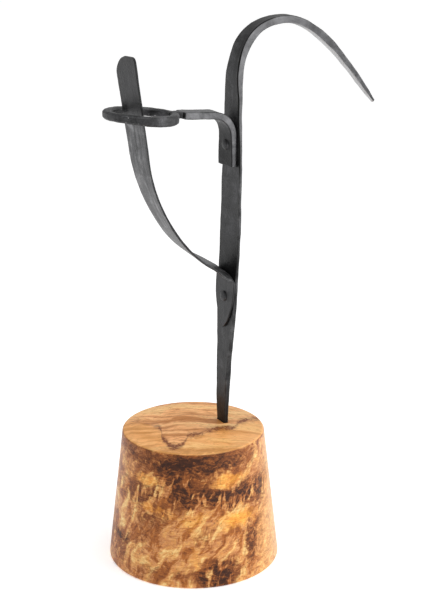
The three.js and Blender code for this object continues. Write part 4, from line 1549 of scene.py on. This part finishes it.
@dataclass
class TurnedBase:
    """The turned base, with the slot that the tang is driven into."""

    stem: Stem
    bottom: float = 50.0
    top: float = 41.3
    height: float = 78.7
    rim: float = 1.6
    foot: float = 1.2
    inset: float = 0.4
    segments: int = 256
    rows: int = 24
    sharp: float = 50.0
    slot_gap: float = 0.25
    slot_chamfer: float = 0.5
    slot_proud: float = 1.0

    def profile(self) -> np.ndarray:
        """The half outline, from the underside's middle to the top's middle.

        Returns:
            Radii and heights.
        """
        slope = math.pi / 2 - math.atan2(self.height, self.bottom - self.top)
        turns = ((-math.pi / 2, slope, 7), (slope, math.pi / 2, 9))
        sizes = ((self.bottom, self.foot, self.foot), (self.top, self.rim, self.height - self.rim))
        foot, rim = (
            np.stack([radius - size + size * np.cos(angle), up + size * np.sin(angle)], -1)
            for angle, (radius, size, up) in zip((np.linspace(*turn) for turn in turns), sizes)
        )
        shares = np.concatenate([[0.008], np.linspace(0.05, 0.95, self.rows), [0.992]])[:, None]
        side = foot[-1] + (rim[0] - foot[-1]) * shares
        under = [[0, 0], [self.bottom * 0.5, 0], [self.bottom - self.foot - self.inset, 0]]
        lid = [[radius, self.height] for radius in (self.top - self.rim - self.inset, self.top * 0.5, 0)]
        return np.concatenate([under, foot, side, rim, lid])

    def build(self, material: Material) -> Piece:
        """Turns the base and cuts the slot.

        Args:
            material: The wood.

        Returns:
            The finished piece.
        """
        profile, n = self.profile(), self.segments
        angle = np.arange(n) * 2 * math.pi / n
        inner = profile[1:-1]
        ring = [np.stack([r * np.cos(angle), r * np.sin(angle), np.full(n, z)], -1) for r, z in inner]
        points = np.concatenate([*ring, [[0, 0, profile[0, 1]]], [[0, 0, profile[-1, 1]]]])
        last, faces = (len(inner) - 1) * n, []
        around = [(j, (j + 1) % n) for j in range(n)]
        for i in range(0, last, n):
            faces += [(i + j, i + k, i + n + k, i + n + j) for j, k in around]
        for j, k in around:
            faces += [(last + n, k, j), (last + n + 1, last + j, last + k)]
        made = solid("turned_burl_base", points, faces)
        slot = self.slot()
        for part in (made, slot):
            part.data.materials.append(material)
        cut = made.modifiers.new("slot", "BOOLEAN")
        cut.operation = "DIFFERENCE"
        cut.solver = "EXACT"
        cut.object = slot
        baked(made, self.sharp)
        bpy.data.objects.remove(slot)
        return made

    def slot(self) -> Piece:
        """The tang's shape with a gap all round, standing proud of the top.

        Returns:
            The shape that is cut away.
        """
        depth = np.array([-self.stem.tang, 0.0, self.slot_proud])
        places = np.array([0.0, 1.0, 1.0])
        half = self.stem.width * self.stem.sections[0].at(places) / 2 + self.slot_gap
        thick = self.stem.thickness * self.stem.sections[1].at(places) + 2 * self.slot_gap
        centre = in_space(np.stack([np.full(3, self.stem.offset), self.stem.entry + depth], -1))
        through = np.array([[1.0, 0.0, 0.0]])
        length = depth + self.stem.tang
        bar = Bar(
            centre, ACROSS[None], through, half, half, thick, self.slot_chamfer, length,
            face_points=3, edge_points=2,
        )
        return bar.mesh("slot")


@dataclass
class Studio:
    """The pale floor, the soft light and the camera at the photograph's view. Sizes are in metres."""

    camera_place: Triple = (-0.38927, -0.69901, 0.404886)
    look_down: float = 17.2809
    look_right: float = 30.0
    lens: float = 88.577
    sensor: float = 36.0
    near_clip: float = 0.01
    floor_half: float = 6.0
    floor_glow: float = 0.38
    left_room: float = 0.45
    right_room: float = 0.95
    aim: Triple = (0.0, 0.0, 0.14)
    # Each light's name, place, size and power.
    softboxes: tuple[tuple[str, Triple, tuple[float, float], float], ...] = (
        ("left_softbox", (-0.6, 0.5, 0.4), (0.2, 0.9), 1.0),
        ("right_softbox", (0.78, -0.2, 0.42), (0.25, 0.9), 1.2),
        ("near_softbox", (0.5, -0.85, 0.4), (0.5, 0.8), 3.1),
        ("top_softbox", (-0.1, -0.1, 1.1), (0.8, 0.8), 2.3),
    )

    def build(self) -> None:
        """Makes the floor, the lights, the surroundings and the camera."""
        scene = bpy.context.scene
        data = bpy.data.cameras.new("camera")
        data.lens = self.lens
        data.sensor_width = self.sensor
        data.clip_start = self.near_clip
        camera = bpy.data.objects.new("camera", data)
        camera.location = self.camera_place
        camera.rotation_euler = (math.radians(90 - self.look_down), 0, math.radians(-self.look_right))
        scene.collection.objects.link(camera)
        scene.camera = camera
        self.floor()
        self.surroundings()
        for softbox in self.softboxes:
            self.hang(*softbox)
        scene.view_settings.view_transform = "Standard"
        scene.view_settings.look = "None"

    def floor(self) -> None:
        """A wide floor of matt studio paper, which gives the eye an even pale ground."""
        h = self.floor_half / MM
        made = solid("floor", np.array([[-h, -h, 0], [h, -h, 0], [h, h, 0], [-h, h, 0]]), [(0, 1, 2, 3)])
        material, tree, shader = new_material("pale_paper")
        fill(tree, shader, Base_Color=linear("f4f4f4"), Roughness=0.9)
        fill(tree, shader, Emission_Color=(1, 1, 1, 1), Emission_Strength=self.floor_glow)
        made.data.materials.append(material)

    def surroundings(self) -> None:
        """A pale room, brighter on the right than on the left."""
        world = bpy.data.worlds.new("pale_room")
        world.use_nodes = True
        tree = world.node_tree
        heading = node(tree, Kind.COORDINATES).node.outputs["Generated"]
        side = (math.cos(math.radians(self.look_right)), -math.sin(math.radians(self.look_right)), 0)
        toward = node(tree, Kind.VECTOR_DOT, heading, side)
        strength = node(tree, Kind.RANGE, toward, -0.6, 0.6, self.left_room, self.right_room)
        fill(tree, tree.nodes["Background"], Color=(1, 1, 1, 1), Strength=strength)
        bpy.context.scene.world = world

    def hang(self, name: str, place: Triple, size: tuple[float, float], power: float) -> None:
        """Hangs a rectangular light that faces the object's middle.

        Args:
            name: The light's name.
            place: Where it hangs, in metres.
            size: Its width and height in metres.
            power: Its power in watts.
        """
        data = bpy.data.lights.new(name, "AREA")
        data.shape = "RECTANGLE"
        data.size, data.size_y = size
        data.energy = power
        lamp = bpy.data.objects.new(name, data)
        lamp.location = place
        lamp.rotation_euler = (Vector(self.aim) - Vector(place)).to_track_quat("-Z", "Y").to_euler()
        bpy.context.scene.collection.objects.link(lamp)


@dataclass
class Candlestick:
    """The whole object."""

    stem: Stem = field(default_factory=Stem)
    # The stem gets painted shade in the nook above the spring's bend, and a painted highlight on its edge
    # faces higher up.
    iron: ForgedIron = ForgedIron("blackened_iron")
    stem_iron: ForgedIron = ForgedIron("blackened_stem_iron", nook=170.0)
    # The bracket is darker down its leg, and its upward faces get a painted highlight.
    bracket_iron: ForgedIron = ForgedIron(
        name="blackened_bracket_iron", dark="262627", middle="3e3e3f", pale="626264",
        painted_shade_and_dark="131314", darker_below=268.0, darker_below_fade=24.0,
        edge_colour_above=120.0, edge_colour_fade=40.0, painted_highlight_on_tops=0.8,
    )
    # The spring was planished to a paler grey, with dark edges; painted shade darkens it above the ring, and
    # it is darker from its bend down.
    spring_iron: ForgedIron = ForgedIron(
        name="planished_spring_iron", dark="363637", middle="5b5b5c", pale="8e8e8f",
        worn="1c1c1d", streak_length=26.0, painted_shade_and_dark="2b2b2c", shade_above=265.0,
        darker_below=168.0, darker_below_fade=2.0, edge_highlight_and_dark_edge="0b0b0c", edge_colour_share=1.0,
        edge_colour_past=-100.0, edge_colour_above=165.0, edge_colour_fade=8.0,
    )

    def build(self) -> list[Piece]:
        """Builds every sub-assembly and ties all but the spring to the root body.

        Returns:
            The finished pieces.
        """
        ring = RingBracket(self.stem)
        spring = LeafSpring(self.stem, ring)
        base = TurnedBase(self.stem)
        rivets = Rivets(self.stem, ring, spring)
        hammering = hammering_tree()
        wood = BurlWood().make(base.height, base.bottom)
        pieces = [
            self.tie(base.build(wood), Slot.WOOD, "wooden_base"),
            self.tie(self.stem.build(hammering, self.stem_iron.make()), Slot.IRON, "stem_with_hook"),
            self.tie(ring.build(hammering, self.bracket_iron.make()), Slot.IRON, "ring_bracket"),
            self.tie(
                rivets.build(rivet_tree(), self.iron.make()), Slot.IRON, "bracket_rivet", "spring_rivet"
            ),
        ]
        leaf = spring.build(hammering, self.spring_iron.make())
        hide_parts("spring_foot", "spring_blade")
        start, end = spring.bend_ends()
        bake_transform(leaf)
        return [*pieces, leaf]

    def tie(self, piece: Piece, slot: Slot, *nodes: str) -> Piece:
        """Makes a piece ride on the root body in place of its solids.

        Args:
            piece: The finished piece.
            slot: The record's slot for its finish; not used.
            nodes: The solids that it stands for.

        Returns:
            The same piece.
        """
        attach(piece, "root")
        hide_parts(*nodes)
        return piece


def main() -> None:
    """Builds the scene and reports each piece."""
    logging.basicConfig(level=logging.INFO, format="%(name)s: %(message)s")
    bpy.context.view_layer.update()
    Studio().build()
    for piece in Candlestick().build():
        log.info("%s: %d faces", piece.name, len(piece.data.polygons))


if __name__ == "__main__":
    main()
